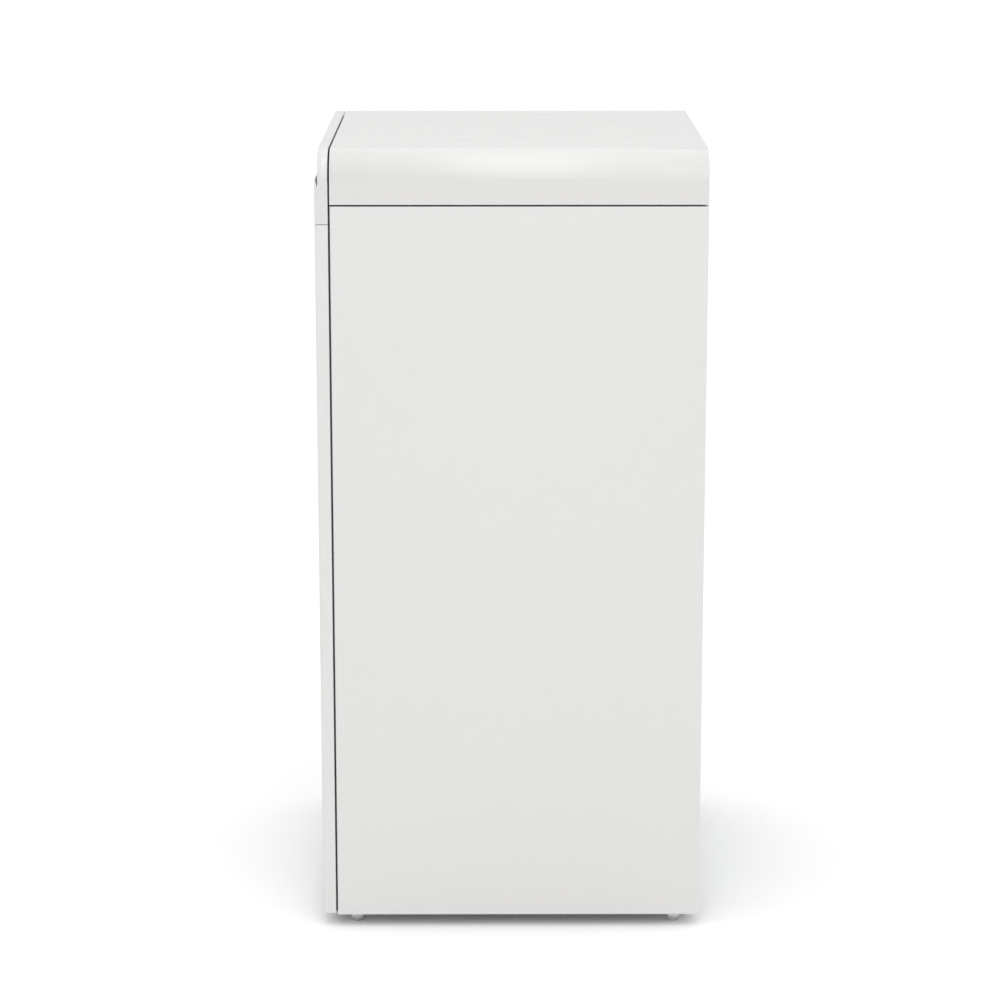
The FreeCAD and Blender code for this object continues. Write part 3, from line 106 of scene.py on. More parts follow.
def make_lights():
    """A bright surround that lights less from low down, seen as plain white, and three soft boxes."""
    middle = (cad_box[0] + cad_box[1]) / 2
    for name, settings in SOFT_BOXES.items():
        area_light(name, middle, **settings)
    world = bpy.data.worlds.new("surround")
    bpy.context.scene.world = world
    world.use_nodes = True
    tree = world.node_tree
    direction = tree.nodes.new("ShaderNodeTexCoord").outputs["Generated"]
    height = tree.nodes.new("ShaderNodeSeparateXYZ")
    tree.links.new(direction, height.inputs["Vector"])
    strength = tree.nodes.new("ShaderNodeMapRange")
    tree.links.new(height.outputs["Z"], strength.inputs["Value"])
    for name, level in SURROUND.items():
        strength.inputs[name].default_value = level
    background = tree.nodes["Background"]
    background.inputs["Color"].default_value = (1.0, 1.0, 1.0, 1.0)
    seen = tree.nodes.new("ShaderNodeMath")
    seen.operation = "MAXIMUM"
    tree.links.new(strength.outputs["Result"], seen.inputs[0])
    tree.links.new(tree.nodes.new("ShaderNodeLightPath").outputs["Is Camera Ray"], seen.inputs[1])
    tree.links.new(seen.outputs["Value"], background.inputs["Strength"])
    bpy.context.scene.view_settings.view_transform = "Standard"


def make_floor(finish):
    """A flat sweep far wider than any view."""
    mesh = bpy.data.meshes.new("floor")
    reach = FLOOR_HALF
    corners = [(-reach, -reach, 0), (reach, -reach, 0), (reach, reach, 0), (-reach, reach, 0)]
    mesh.from_pydata(corners, [], [(0, 1, 2, 3)])
    mesh.materials.append(finish)
    floor = bpy.data.objects.new("floor", mesh)
    bpy.context.scene.collection.objects.link(floor)


# ---- finishes ---------------------------------------------------------------------------------


class Finish:
    """A material under construction: a Principled shader fed by textures in object coordinates."""

    def __init__(self, name, color, roughness, metallic=0.0, specular=0.5):
        self.material = bpy.data.materials.new(name)
        self.material.use_nodes = True
        self.tree = self.material.node_tree
        self.shader = self.tree.nodes["Principled BSDF"]
        self.color = color
        self.base = color
        self.set("Base Color", (*color, 1.0))
        self.set("Roughness", roughness)
        self.set("Metallic", metallic)
        self.set("Specular IOR Level", specular)
        self.coordinates = self.tree.nodes.new("ShaderNodeTexCoord").outputs["Object"]
        self.normal = None

    def set(self, socket, value):
        self.shader.inputs[socket].default_value = value

    def node(self, kind, inputs=None, **settings):
        """A new node; inputs are values, or sockets to link from."""
        made = self.tree.nodes.new(kind)
        for name, setting in settings.items():
            setattr(made, name, setting)
        for name, source in (inputs or {}).items():
            if isinstance(source, bpy.types.NodeSocket):
                self.tree.links.new(source, made.inputs[name])
            else:
                made.inputs[name].default_value = source
        return made

    def stretched(self, scale):
        """The coordinates with each axis scaled on its own."""
        inputs = {"Vector": self.coordinates, "Scale": scale}
        return self.node("ShaderNodeMapping", inputs).outputs["Vector"]

    def noise(self, scale, detail=3.0, stretch=None):
        source = self.stretched(stretch) if stretch else self.coordinates
        inputs = {"Vector": source, "Scale": scale, "Detail": detail}
        return self.node("ShaderNodeTexNoise", inputs).outputs["Fac"]

    def cells(self, scale, output="Distance", feature="F1"):
        inputs = {"Vector": self.coordinates, "Scale": scale}
        return self.node("ShaderNodeTexVoronoi", inputs, feature=feature).outputs[output]

    def ranged(self, source, low, high, start=0.3, end=0.7):
        inputs = {"Value": source, "From Min": start, "From Max": end, "To Min": low, "To Max": high}
        return self.node("ShaderNodeMapRange", inputs).outputs["Result"]

    def blend(self, amount, first, second):
        """A colour that goes from the first to the second; the amount is a socket."""
        mix = self.node("ShaderNodeMix", data_type="RGBA")
        for socket, source in (("Factor", amount), ("A", first), ("B", second)):
            target = next(s for s in mix.inputs if s.name == socket and s.type != "VECTOR" and s.enabled)
            if isinstance(source, bpy.types.NodeSocket):
                self.tree.links.new(source, target)
            else:
                target.default_value = (*source, 1.0)
        return next(s for s in mix.outputs if s.enabled)

    def feed(self, socket, source):
        self.tree.links.new(source, self.shader.inputs[socket])

    def bump(self, source, distance, strength=1.0):
        """Relief of a real height, in metres, added to any that is already there."""
        inputs = {"Height": source, "Distance": distance, "Strength": strength}
        if self.normal:
            inputs["Normal"] = self.normal
        self.normal = self.node("ShaderNodeBump", inputs).outputs["Normal"]
        self.feed("Normal", self.normal)

    def mottle(self, scale, amount, detail=4.0):
        """Uneven colour: lighter and darker by a share of the base colour."""
        dark = [channel * (1 - amount) for channel in self.color]
        light = [min(1.0, channel * (1 + amount)) for channel in self.color]
        self.base = self.blend(self.ranged(self.noise(scale, detail), 0.0, 1.0), dark, light)
        self.feed("Base Color", self.base)

    def worn_edges(self, color, width, amount=0.6):
        """Bare or rubbed edges, found where a rounded normal leaves the surface's own."""
        rounded = self.node("ShaderNodeBevel", {"Radius": width}, samples=4).outputs["Normal"]
        own = self.node("ShaderNodeNewGeometry").outputs["Normal"]
        likeness = self.node("ShaderNodeVectorMath", {0: rounded, 1: own}, operation="DOT_PRODUCT")
        edge = self.ranged(likeness.outputs["Value"], 1.0, 0.0, 0.80, 0.97)
        patchy = self.ranged(self.noise(90.0, 6.0), 0.0, amount, 0.42, 0.62)
        both = self.node("ShaderNodeMath", {0: edge, 1: patchy}, operation="MULTIPLY").outputs["Value"]
        self.base = self.blend(both, self.base, color)
        self.feed("Base Color", self.base)

    def uneven_gloss(self, scale, low, high, stretch=None):
        self.feed("Roughness", self.ranged(self.noise(scale, 5.0, stretch), low, high))

    def painted_corner_shade(self, color, reach, amount):
        """Painted shade: the colour darkened in corners and seams, where ambient occlusion finds shade."""
        shade = self.node("ShaderNodeAmbientOcclusion", {"Distance": reach}, samples=4)
        corner = self.ranged(shade.outputs["AO"], amount, 0.0, 0.15, 0.75)
        self.base = self.blend(corner, self.base, color)
        self.feed("Base Color", self.base)


WHITE = (0.66, 0.653, 0.644)
GLOSS_WHITE = (0.628, 0.621, 0.612)
# The darker colour painted into the white finishes' corners and seams as shade.
WHITE_CORNER_SHADE = (0.5, 0.49, 0.47)
BOARD_GREEN = (0.012, 0.12, 0.045)


def enamel_white():
    """Baked white enamel on steel: satin, with a fine orange-peel texture."""
    finish = Finish("enamel_white", WHITE, 0.34)
    finish.mottle(2.2, 0.006)
    # Painted shade: the white darkened in corners and seams.
    finish.painted_corner_shade(WHITE_CORNER_SHADE, 0.004, 0.12)
    finish.uneven_gloss(14.0, 0.31, 0.38)
    finish.bump(finish.noise(420.0, 2.0), 0.00003)
    finish.bump(finish.noise(6.0, 2.0), 0.0004, 0.25)
    finish.set("Coat Weight", 0.25)
    finish.set("Coat Roughness", 0.22)
    return finish.material


def plastic_white():
    """Glossy white moulding."""
    finish = Finish("plastic_white", GLOSS_WHITE, 0.22, specular=0.4)
    finish.mottle(3.0, 0.006)
    # Painted shade: the white darkened in corners and seams.
    finish.painted_corner_shade(WHITE_CORNER_SHADE, 0.004, 0.12)
    finish.uneven_gloss(20.0, 0.17, 0.25)
    finish.bump(finish.noise(900.0, 2.0), 0.00001)
    finish.bump(finish.noise(5.0, 2.0), 0.0005, 0.25)
    finish.set("Coat Weight", 0.25)
    finish.set("Coat Roughness", 0.15)
    return finish.material


def moulded(name, color, roughness, grain=700.0, depth=0.00006):
    """Textured moulded plastic with a spark-eroded grain."""
    finish = Finish(name, color, roughness)
    finish.mottle(9.0, 0.05)
    # Painted shade: a darker copy of the colour in corners and seams.
    finish.painted_corner_shade([channel * 0.4 for channel in color], 0.008, 0.4)
    finish.uneven_gloss(40.0, roughness - 0.06, roughness + 0.08)
    finish.bump(finish.cells(grain, "Distance", "SMOOTH_F1"), depth)
    finish.bump(finish.noise(grain * 2, 3.0), depth * 0.5)
    return finish.material


def galvanised():
    """Hot-dip galvanised sheet with its crystal spangle."""
    finish = Finish("galvanised", (0.52, 0.54, 0.56), 0.42, metallic=0.85)
    crystal = finish.cells(120.0, "Color")
    tone = finish.node("ShaderNodeSeparateColor", {"Color": crystal}).outputs["Red"]
    finish.base = finish.blend(tone, (0.49, 0.51, 0.53), (0.55, 0.57, 0.59))
    streak = finish.ranged(finish.noise(8.0, 6.0), 0.0, 0.2, 0.4, 0.7)
    finish.base = finish.blend(streak, finish.base, (0.36, 0.37, 0.38))
    finish.feed("Base Color", finish.base)
    # Painted shade: dark brown-grey in corners and seams.
    finish.painted_corner_shade((0.12, 0.11, 0.10), 0.012, 0.6)
    finish.feed("Roughness", finish.ranged(tone, 0.40, 0.47, 0.0, 1.0))
    finish.bump(finish.noise(300.0, 3.0), 0.00003)
    finish.bump(tone, 0.00001)
    return finish.material


def zinc():
    """Bright zinc plate on drawn and stamped steel."""
    finish = Finish("zinc", (0.62, 0.63, 0.64), 0.3, metallic=1.0)
    finish.mottle(60.0, 0.12)
    finish.worn_edges((0.85, 0.85, 0.86), 0.0006)
    finish.uneven_gloss(30.0, 0.22, 0.4, (1.0, 0.06, 1.0))
    finish.bump(finish.noise(500.0, 4.0, (1.0, 0.03, 1.0)), 0.00002)
    return finish.material


def oiled_steel():
    """Turned and cut steel under a film of oil."""
    finish = Finish("oiled_steel", (0.36, 0.355, 0.35), 0.25, metallic=1.0)
    finish.mottle(70.0, 0.25)
    finish.worn_edges((0.7, 0.69, 0.68), 0.0005)
    # Painted shade: near black in corners and seams.
    finish.painted_corner_shade((0.05, 0.04, 0.03), 0.003, 0.7)
    finish.uneven_gloss(50.0, 0.14, 0.36)
    finish.bump(finish.noise(700.0, 4.0, (1.0, 1.0, 6.0)), 0.00002)
    return finish.material


def dark_enamel():
    """Dark hammered enamel, rubbed through to steel along the edges."""
    finish = Finish("dark_enamel", (0.075, 0.08, 0.085), 0.42)
    finish.mottle(12.0, 0.12)
    finish.worn_edges((0.42, 0.42, 0.42), 0.0015, 0.85)
    finish.uneven_gloss(25.0, 0.34, 0.52)
    finish.bump(finish.cells(160.0, "Distance", "SMOOTH_F1"), 0.00012)
    return finish.material


def motor_black():
    """Black stove enamel."""
    finish = Finish("motor_black", (0.018, 0.018, 0.02), 0.36)
    finish.mottle(20.0, 0.3)
    finish.worn_edges((0.3, 0.3, 0.3), 0.0008)
    finish.uneven_gloss(30.0, 0.28, 0.46)
    finish.bump(finish.noise(450.0, 2.0), 0.00004)
    return finish.material


def bronze():
    """Turned bearing bronze, brighter along its edges."""
    finish = Finish("bronze", (0.52, 0.33, 0.13), 0.3, metallic=1.0)
    finish.mottle(80.0, 0.22)
    finish.worn_edges((0.8, 0.6, 0.32), 0.0005)
    finish.uneven_gloss(60.0, 0.22, 0.42)
    finish.bump(finish.noise(600.0, 3.0, (1.0, 1.0, 8.0)), 0.00002)
    return finish.material


def aluminium():
    """A drawn aluminium can."""
    finish = Finish("aluminium", (0.72, 0.73, 0.75), 0.28, metallic=1.0)
    finish.mottle(25.0, 0.06)
    finish.uneven_gloss(45.0, 0.2, 0.38, (1.0, 1.0, 0.05))
    finish.bump(finish.noise(500.0, 3.0, (1.0, 1.0, 0.03)), 0.00002)
    return finish.material


def seal_rubber():
    """Matt grey rubber for the door gasket, partly painted shade: its dark grey also stands in for the
    shade in the door's seams.
    """
    finish = Finish("seal_rubber", (0.15, 0.152, 0.156), 0.62, specular=0.35)
    finish.mottle(40.0, 0.3)
    finish.uneven_gloss(80.0, 0.54, 0.72)
    finish.bump(finish.noise(900.0, 3.0), 0.00005)
    finish.set("Sheen Weight", 0.15)
    return finish.material


def lens_green():
    """Clear green moulding with faint internal swirls."""
    finish = Finish("lens_green", (0.10, 0.62, 0.22), 0.08)
    finish.mottle(600.0, 0.15)
    finish.uneven_gloss(500.0, 0.05, 0.14)
    finish.bump(finish.cells(1400.0), 0.00005)
    finish.set("Transmission Weight", 0.55)
    finish.set("IOR", 1.49)
    return finish.material


def board_green():
    """Solder mask over copper tracks."""
    finish = Finish("board_green", BOARD_GREEN, 0.3)
    inputs = {"Vector": finish.coordinates, "Scale": 220.0, "Color1": (0, 0, 0, 1), "Color2": (1, 1, 1, 1)}
    track = finish.node("ShaderNodeTexBrick", inputs).outputs["Fac"]
    finish.base = finish.blend(track, BOARD_GREEN, (0.03, 0.22, 0.08))
    finish.feed("Base Color", finish.base)
    finish.uneven_gloss(200.0, 0.22, 0.4)
    finish.bump(track, 0.00004)
    return finish.material


def floor_white():
    """A pale studio sweep with a faint mottle."""
    finish = Finish("floor_white", (0.965, 0.965, 0.965), 0.8, specular=0.0)
    finish.mottle(1.5, 0.004)
    finish.uneven_gloss(3.0, 0.62, 0.78)
    finish.bump(finish.noise(60.0, 2.0), 0.0001)
    return finish.material


# ---- mesh building ----------------------------------------------------------------------------

BEAD_STEPS = 6
BEAD_TIP = 0.02
BEAD_ROOT = 0.3 * MM
THREAD_HALF = 0.32
THREAD_FLANK = 0.14
THREAD_STEPS = 10
SCREW_STEPS = 16
ROUND_STEPS = 5
CORNER_STEPS = 8
SCREW_TEETH = 15
DRIVE_TEETH = 10
UP = (0, 0, 1)
FORWARD = (0, -1, 0)
BACKWARD = (0, 1, 0)


class Shape:
    """A mesh under construction, in metres, in the machine's own frame."""

    def __init__(self):
        self.mesh = bmesh.new()

    def loft(self, rings, loop=False):
        """A closed skin through rings of equal count; a loop joins the last ring to the first."""
        rows = [[self.mesh.verts.new(point) for point in ring] for ring in rings]
        count = len(rows[0])
        following = rows[1:] + rows[:1] if loop else rows[1:]
        for row, above in zip(rows, following):
            for index in range(count):
                after = (index + 1) % count
                self.mesh.faces.new((row[index], row[after], above[after], above[index]))
        if not loop:
            self.mesh.faces.new(rows[0])
            self.mesh.faces.new(rows[-1])
        return self

    def prism(self, outline, rise):
        """An outline of points carried along a direction."""
        return self.loft([[Vector(point) + Vector(rise) * end for point in outline] for end in (0, 1)])

    def turned(self, place, axis, levels, segments=32):
        """A body turned about an axis; each level is (distance, radius), and the radius is a
        number or a function of the angle and the distance."""
        stand = turned_to(place, axis)
        rings = []
        for distance, radius in levels:
            ring = []
            for index in range(segments):
                angle = 2 * math.pi * index / segments
                reach = radius(angle, distance) if callable(radius) else radius
                ring.append(stand @ Vector((math.cos(angle) * reach, math.sin(angle) * reach, distance)))
            rings.append(ring)
        return self.loft(rings)

    def ring(self, place, axis, section, segments=48):
        """A closed ring: a section of (radius, distance) points carried round an axis."""
        stand = turned_to(place, axis)
        rings = []
        for index in range(segments):
            angle = 2 * math.pi * index / segments
            across, along = math.cos(angle), math.sin(angle)
            rings.append([stand @ Vector((across * r, along * r, height)) for r, height in section])
        return self.loft(rings, loop=True)

    def bead(self, start, end, out, width, rise):
        """A half-round rib with rounded ends, standing on a flat sheet."""
        start, end, out = Vector(start), Vector(end), Vector(out)
        along = (end - start).normalized()
        across = along.cross(out)
        half = width / 2
        turns = [math.pi / 2 * step / BEAD_STEPS for step in range(BEAD_STEPS + 1)]
        near = [(half * (1 - math.cos(turn)), max(BEAD_TIP, math.sin(turn))) for turn in turns]
        length = (end - start).length
        far = [(length - distance, size) for distance, size in reversed(near)]
        rings = []
        for distance, size in near + far:
            middle = start + along * distance
            side, top = across * half * size, out * rise * size
            arch = [middle + side * math.cos(2 * turn) + top * math.sin(2 * turn) for turn in turns]
            rings.append(arch + [middle - side - out * BEAD_ROOT, middle + side - out * BEAD_ROOT])
        return self.loft(rings)

    def add(self, other, matrix=Matrix.Identity(4)):
        """Another shape's faces, moved by a matrix; the other shape is kept."""
        copy = bpy.data.meshes.new("copy")
        other.mesh.to_mesh(copy)
        copy.transform(matrix)
        self.mesh.from_mesh(copy)
        bpy.data.meshes.remove(copy)
        return self

    def finished(self, name):
        """The shape as a mesh, with its faces turned outwards."""
        bmesh.ops.recalc_face_normals(self.mesh, faces=self.mesh.faces)
        made = bpy.data.meshes.new(name)
        self.mesh.to_mesh(made)
        return made


def turned_to(place, axis):
    """The matrix that puts the origin at a place and +Z along an axis."""
    turn = Vector(UP).rotation_difference(Vector(axis))
    return Matrix.Translation(place) @ turn.to_matrix().to_4x4()


def carved(base, cutter):
    """The base shape with the cutter taken out of it."""
    scratch = []
    for shape in (base, cutter):
        thing = bpy.data.objects.new("scratch", shape.finished("scratch"))
        bpy.context.scene.collection.objects.link(thing)
        scratch.append(thing)
    cut = scratch[0].modifiers.new("cut", "BOOLEAN")
    cut.object = scratch[1]
    cut.solver = "EXACT"
    view = bpy.context.evaluated_depsgraph_get()
    left = bpy.data.meshes.new_from_object(scratch[0].evaluated_get(view))
    for thing in scratch:
        bpy.data.objects.remove(thing)
    result = Shape()
    result.mesh.from_mesh(left)
    bpy.data.meshes.remove(left)
    return result


def piece(name, shape, finish, body, stands_for=(), sharp=32):
    """Put a shape in the scene, on a body, in place of the CAD nodes that it stands for."""
    mesh = shape.finished(name)
    mesh.materials.append(finish)
    for polygon in mesh.polygons:
        polygon.use_smooth = True
    mesh.set_sharp_from_angle(angle=math.radians(sharp))
    made = bpy.data.objects.new(name, mesh)
    bpy.context.scene.collection.objects.link(made)
    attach(made, body)
    if stands_for:
        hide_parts(*stands_for)


def centre(node):
    """The middle of a CAD node's box."""
    low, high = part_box(node)
    return (low + high) / 2


def steps(low, high, step):
    """Evenly spaced values from low to high, about a step apart."""
    count = max(1, round((high - low) / step))
    return [low + (high - low) * index / count for index in range(count + 1)]


def thread(root, crest, lead):
    """The radius of a right-hand trapezoidal thread, by angle and height."""

    def radius(angle, height):
        turn = (height / lead - angle / (2 * math.pi)) % 1.0
        ridge = (THREAD_HALF - abs(turn - 0.5)) / THREAD_FLANK
        return root + (crest - root) * min(1.0, max(0.0, ridge))

    return radius


def hexagon(flats, limit):
    """The radius of a hexagon with a corner at angle zero, trimmed to a limit."""

    def radius(angle, _):
        turn = (angle + math.pi / 6) % (math.pi / 3) - math.pi / 6
        return min(limit, flats / 2 / math.cos(math.pi / 6 - abs(turn)))

    return radius


# ---- fasteners and feet -------------------------------------------------------------------------

# A head's profile, as shares of its height and of its radius.
PAN_HEAD = ((0, 1), (0.35, 1), (0.7, 0.93), (0.92, 0.75), (1, 0.45))
HEX_FLANGE = ((0, 1), (0.22, 0.94))
HEX_LOW, HEX_HIGH = 0.28, 0.85
HEX_FLATS = 1.5
HEX_CHAMFER = 0.98
# The cross recess, as shares of the head's radius, then its size at two shares of the head's height.
RECESS_ARM, RECESS_HALF = 0.55, 0.13
RECESS_SINK = ((0.6, 0.25), (1.1, 1.5))


def levelling_feet(finish):
    """Hex-headed levelling bolts, with chamfered heads and a rolled thread."""
    head, chamfer, pitch = 8 * MM, 0.7 * MM, 1.25 * MM
    crest, root = 3.95 * MM, 3.3 * MM
    for end in ("front", "rear"):
        for side in SIDES:
            node = f"foot_{end}_{side}"
            low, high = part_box(node)
            place = centre(node).xy.to_3d()
            flats, corner = high.y - low.y, (high.x - low.x) / 2
            levels = [
                (0, hexagon(flats, flats / 2)),
                (chamfer, hexagon(flats, corner)),
                (head - chamfer, hexagon(flats, corner)),
                (head, hexagon(flats, flats / 2)),
                (head, root),
            ]
            stud = steps(head + chamfer, high.z - chamfer, pitch / THREAD_STEPS)
            levels += [(height, thread(root, crest, pitch)) for height in stud]
            levels.append((high.z, root - chamfer))
            shape = Shape().turned(place, UP, levels, 24)
            piece(f"{node}_bolt", shape, finish, node, (node,))


def pan_screw(radius, height, shank, length):
    """A pan-head screw with a cross recess. Its head sits at the origin and points up."""
    levels = [(-length, shank / 2), (shank / 2 - length, shank), (0, shank)]
    levels += [(height * up, radius * out) for up, out in PAN_HEAD]
    head = Shape().turned((0, 0, 0), UP, levels)
    arm, half = radius * RECESS_ARM, radius * RECESS_HALF
    quarter = [(arm, -half), (arm, half), (half, half)]
    cross = []
    for turn in range(4):
        swing = Matrix.Rotation(turn * math.pi / 2, 2)
        cross += [swing @ Vector(point) for point in quarter]
    sink = []
    for size, share in RECESS_SINK:
        sink.append([(point * size).to_3d() + Vector((0, 0, height * share)) for point in cross])
    return carved(head, Shape().loft(sink))


def hex_bolt(radius, height, shank, length):
    """A hexagon bolt with a flange. Its head sits at the origin and points up."""
    flats = radius * HEX_FLATS
    levels = [(-length, shank * 0.8), (shank * 0.3 - length, shank), (0, shank)]
    levels += [(height * up, radius * out) for up, out in HEX_FLANGE]
    levels += [(height * up, hexagon(flats, radius)) for up in (HEX_LOW, HEX_HIGH)]
    levels.append((height, hexagon(flats, flats / 2 * HEX_CHAMFER)))
    return Shape().turned((0, 0, 0), UP, levels, 24)


def scatter(pattern, places, axis):
    """Copies of a shape at several places, each pointing along an axis."""
    shape = Shape()
    for place in places:
        shape.add(pattern, turned_to(place, axis))
    return shape


def fasteners(plated):
    """Panel screws, the drawer front's bolts and the motor's bolts."""
    head, thick, columns = 4 * MM, 1.6 * MM, 5
    low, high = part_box("back_screws")
    across = steps(low.x + head, high.x - head, (high.x - low.x - 2 * head) / (columns - 1))
    seat = high.y - thick
    places = [(x, seat, z) for x in across for z in (low.z + head, high.z - head)]
    screw = pan_screw(head, thick, 1.85 * MM, 5.8 * MM)
    shape = scatter(screw, places, BACKWARD)
    piece("back_pan_screws", shape, plated, "cabinet", ("back_screws",))

    inlet_low, inlet_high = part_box("power_inlet")
    small, flat, inset = 2.4 * MM, 0.4 * MM, 5.5 * MM
    middle = (inlet_low.z + inlet_high.z) / 2
    places = [(x, inlet_high.y, middle) for x in (inlet_low.x + inset, inlet_high.x - inset)]
    shape = scatter(pan_screw(small, flat, 1.2 * MM, 1.4 * MM), places, BACKWARD)
    piece("inlet_screws", shape, plated, "cabinet")

    flange, tall, bolt_shank = 5 * MM, 3.5 * MM, 2.95 * MM
    low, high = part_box("front_bolts")
    rows = steps(low.z + flange, high.z - flange, (high.z - low.z - 2 * flange) / 2)
    places = [(x, high.y - tall, z) for x in (low.x + flange, high.x - flange) for z in rows]
    bolt = hex_bolt(flange, tall, bolt_shank, high.y - low.y - tall)
    shape = scatter(bolt, places, BACKWARD)
    piece("front_hex_bolts", shape, plated, "drawer", ("front_bolts",))

    low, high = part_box("motor_bolts")
    lines = (low.y + flange, high.y - flange)
    places = [(x, y, high.z - tall) for x in (low.x + flange, high.x - flange) for y in lines]
    bolt = hex_bolt(flange, tall, bolt_shank, high.z - low.z - tall)
    shape = scatter(bolt, places, UP)
    piece("motor_hex_bolts", shape, plated, "cabinet", ("motor_bolts",))


# ---- drive --------------------------------------------------------------------------------------


def power_screws(steel):
    """The two lifting screws, with their thread cut between a foot and a journal."""
    lead, neck_gap = 10 * MM, 1 * MM
    crest, root, foot, neck = 7.95 * MM, 6.3 * MM, 4.97 * MM, 5.97 * MM
    foot_height = 8 * MM
    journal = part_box("drive_deck")[0].z - neck_gap
    for side in SIDES:
        node = f"power_screw_{side}"
        low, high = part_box(node)
        shoulder = low.z + foot_height
        levels = [
            (low.z, foot - neck_gap / 2),
            (low.z + neck_gap / 2, foot),
            (shoulder, foot),
            (shoulder, root),
        ]
        rows = steps(shoulder + neck_gap, journal - neck_gap, lead / SCREW_STEPS)
        levels += [(height, thread(root, crest, lead)) for height in rows]
        levels += [(journal, root), (journal, neck), (high.z - neck_gap / 2, neck)]
        levels.append((high.z, neck - neck_gap / 2))
        shape = Shape().turned(centre(node).xy.to_3d(), UP, levels, 36)
        piece(f"lifting_screw_{side}", shape, steel, f"screw_{side}", (node,), 40)


def polar(place, radius, angle):
    """The point at a radius and an angle from a place, in plan."""
    return place + Vector((math.cos(angle), math.sin(angle))) * radius


def chain_route(pitch):
    """The chain's stretches: arcs round the three sprockets and straight runs between them.

    Each is (length, function from a distance along it to a point).
    """
    teeth = {"power_screw_left": SCREW_TEETH, "power_screw_right": SCREW_TEETH, "gear_axle": DRIVE_TEETH}
    circles = [(centre(node).xy, pitch * count / (2 * math.pi)) for node, count in teeth.items()]
    leaving = []
    for index, (place, radius) in enumerate(circles):
        following, next_radius = circles[(index + 1) % len(circles)]
        run = following - place
        lean = math.asin((next_radius - radius) / run.length)
        leaving.append(math.atan2(run.y, run.x) - math.pi / 2 - lean)
    route = []
    for index, (place, radius) in enumerate(circles):
        arrive, leave = leaving[index - 1], leaving[index]
        while leave < arrive:
            leave += 2 * math.pi
        following, next_radius = circles[(index + 1) % len(circles)]
        route.append((radius * (leave - arrive), arc_stretch(place, radius, arrive)))
        start, end = polar(place, radius, leave), polar(following, next_radius, leave)
        route.append(((end - start).length, straight_stretch(start, end)))
    return route


def arc_stretch(place, radius, arrive):
    """Points along an arc that starts at an angle."""
    return lambda distance: polar(place, radius, arrive + distance / radius)


def straight_stretch(start, end):
    """Points along a straight run."""
    return lambda distance: start + (end - start).normalized() * distance


def rollers(pitch):
    """The centre of every roller, spread evenly along the route; there is an even number."""
    route = chain_route(pitch)
    total = sum(length for length, _ in route)
    count = 2 * round(total / pitch / 2)
    spots = []
    for number in range(count):
        distance = number * total / count
        for length, spot in route:
            if distance < length:
                break
            distance -= length
        spots.append(spot(distance))
    return spots


def drive_chain(steel):
    """A roller chain: waisted link plates, inner and outer by turns, on pins and rollers."""
    pitch, thick, gap = 9.525 * MM, 0.75 * MM, 0.05 * MM
    end_radius, waist, roller, pin = 3.4 * MM, 2.5 * MM, 2.45 * MM, 1.3 * MM
    low, high = (corner.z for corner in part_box("drive_chain"))
    spots = rollers(pitch)
    shape = Shape()
    for index, spot in enumerate(spots):
        following = spots[(index + 1) % len(spots)]
        along = (following - spot).normalized()
        across = Vector((-along.y, along.x))
        outline = []
        for place, facing in ((spot, -1), (following, 1)):
            for step in range(-3, 4):
                turn = math.radians(30 * step)
                reach = along * math.cos(turn) + across * math.sin(turn)
                outline.append(place + reach * facing * end_radius)
            outline.append((spot + following) / 2 + across * facing * waist)
        outer = 0 if index % 2 else thick + gap
        for base in (low + outer, high - outer - thick):
            shape.prism([point.to_3d() + Vector((0, 0, base)) for point in outline], (0, 0, thick))
        inside = low + 2 * thick + 2 * gap, high - 2 * thick - 2 * gap
        shape.turned(spot.to_3d(), UP, [(inside[0], roller), (inside[1], roller)], 14)
        shape.turned(spot.to_3d(), UP, [(low - gap, pin), (high + gap, pin)], 10)
    piece("roller_chain", shape, steel, "cabinet", ("drive_chain",))


def motor_ribs(motor):
    """Cooling ribs round the motor's can."""
    low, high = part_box("motor_housing")
    can = 44.9 * MM
    rise, half, pitch, margin = 2 * MM, 1 * MM, 7 * MM, 14 * MM
    section = [(can, -half), (can + rise, -half * 0.6), (can + rise, half * 0.6), (can, half)]
    shape = Shape()
    for height in steps(low.z + margin, high.z - 2 * margin, pitch):
        shape.ring((*centre("motor_housing").xy, height), UP, section, 64)
    piece("motor_ribs", shape, motor, "cabinet")


# ---- drawer -------------------------------------------------------------------------------------

BIN_BANDS = (0.3, 0.55, 0.8)
# The gasket's section: shares of the way from its inner to its outer edge, and of its depth.
GASKET_ROOT = [(0, 0), (1, 0), (1, 0.25)]
GASKET_BULB = [(0.86, 0.35), (0.8, 0.7), (0.62, 0.97), (0.38, 0.97), (0.2, 0.7), (0.14, 0.35), (0, 0.25)]


def corner_ring(x, y, radius, height):
    """A rectangle between two spans with rounded corners, at a height."""
    ring = []
    corners = ((x[1], y[1], 0), (x[0], y[1], 1), (x[0], y[0], 2), (x[1], y[0], 3))
    for corner_x, corner_y, quarter in corners:
        inward_x = -1 if corner_x == x[1] else 1
        inward_y = -1 if corner_y == y[1] else 1
        hub = Vector((corner_x + inward_x * radius, corner_y + inward_y * radius, height))
        for step in range(CORNER_STEPS + 1):
            angle = math.pi / 2 * (quarter + step / CORNER_STEPS)
            ring.append(hub + Vector((math.cos(angle), math.sin(angle), 0)) * radius)
    return ring


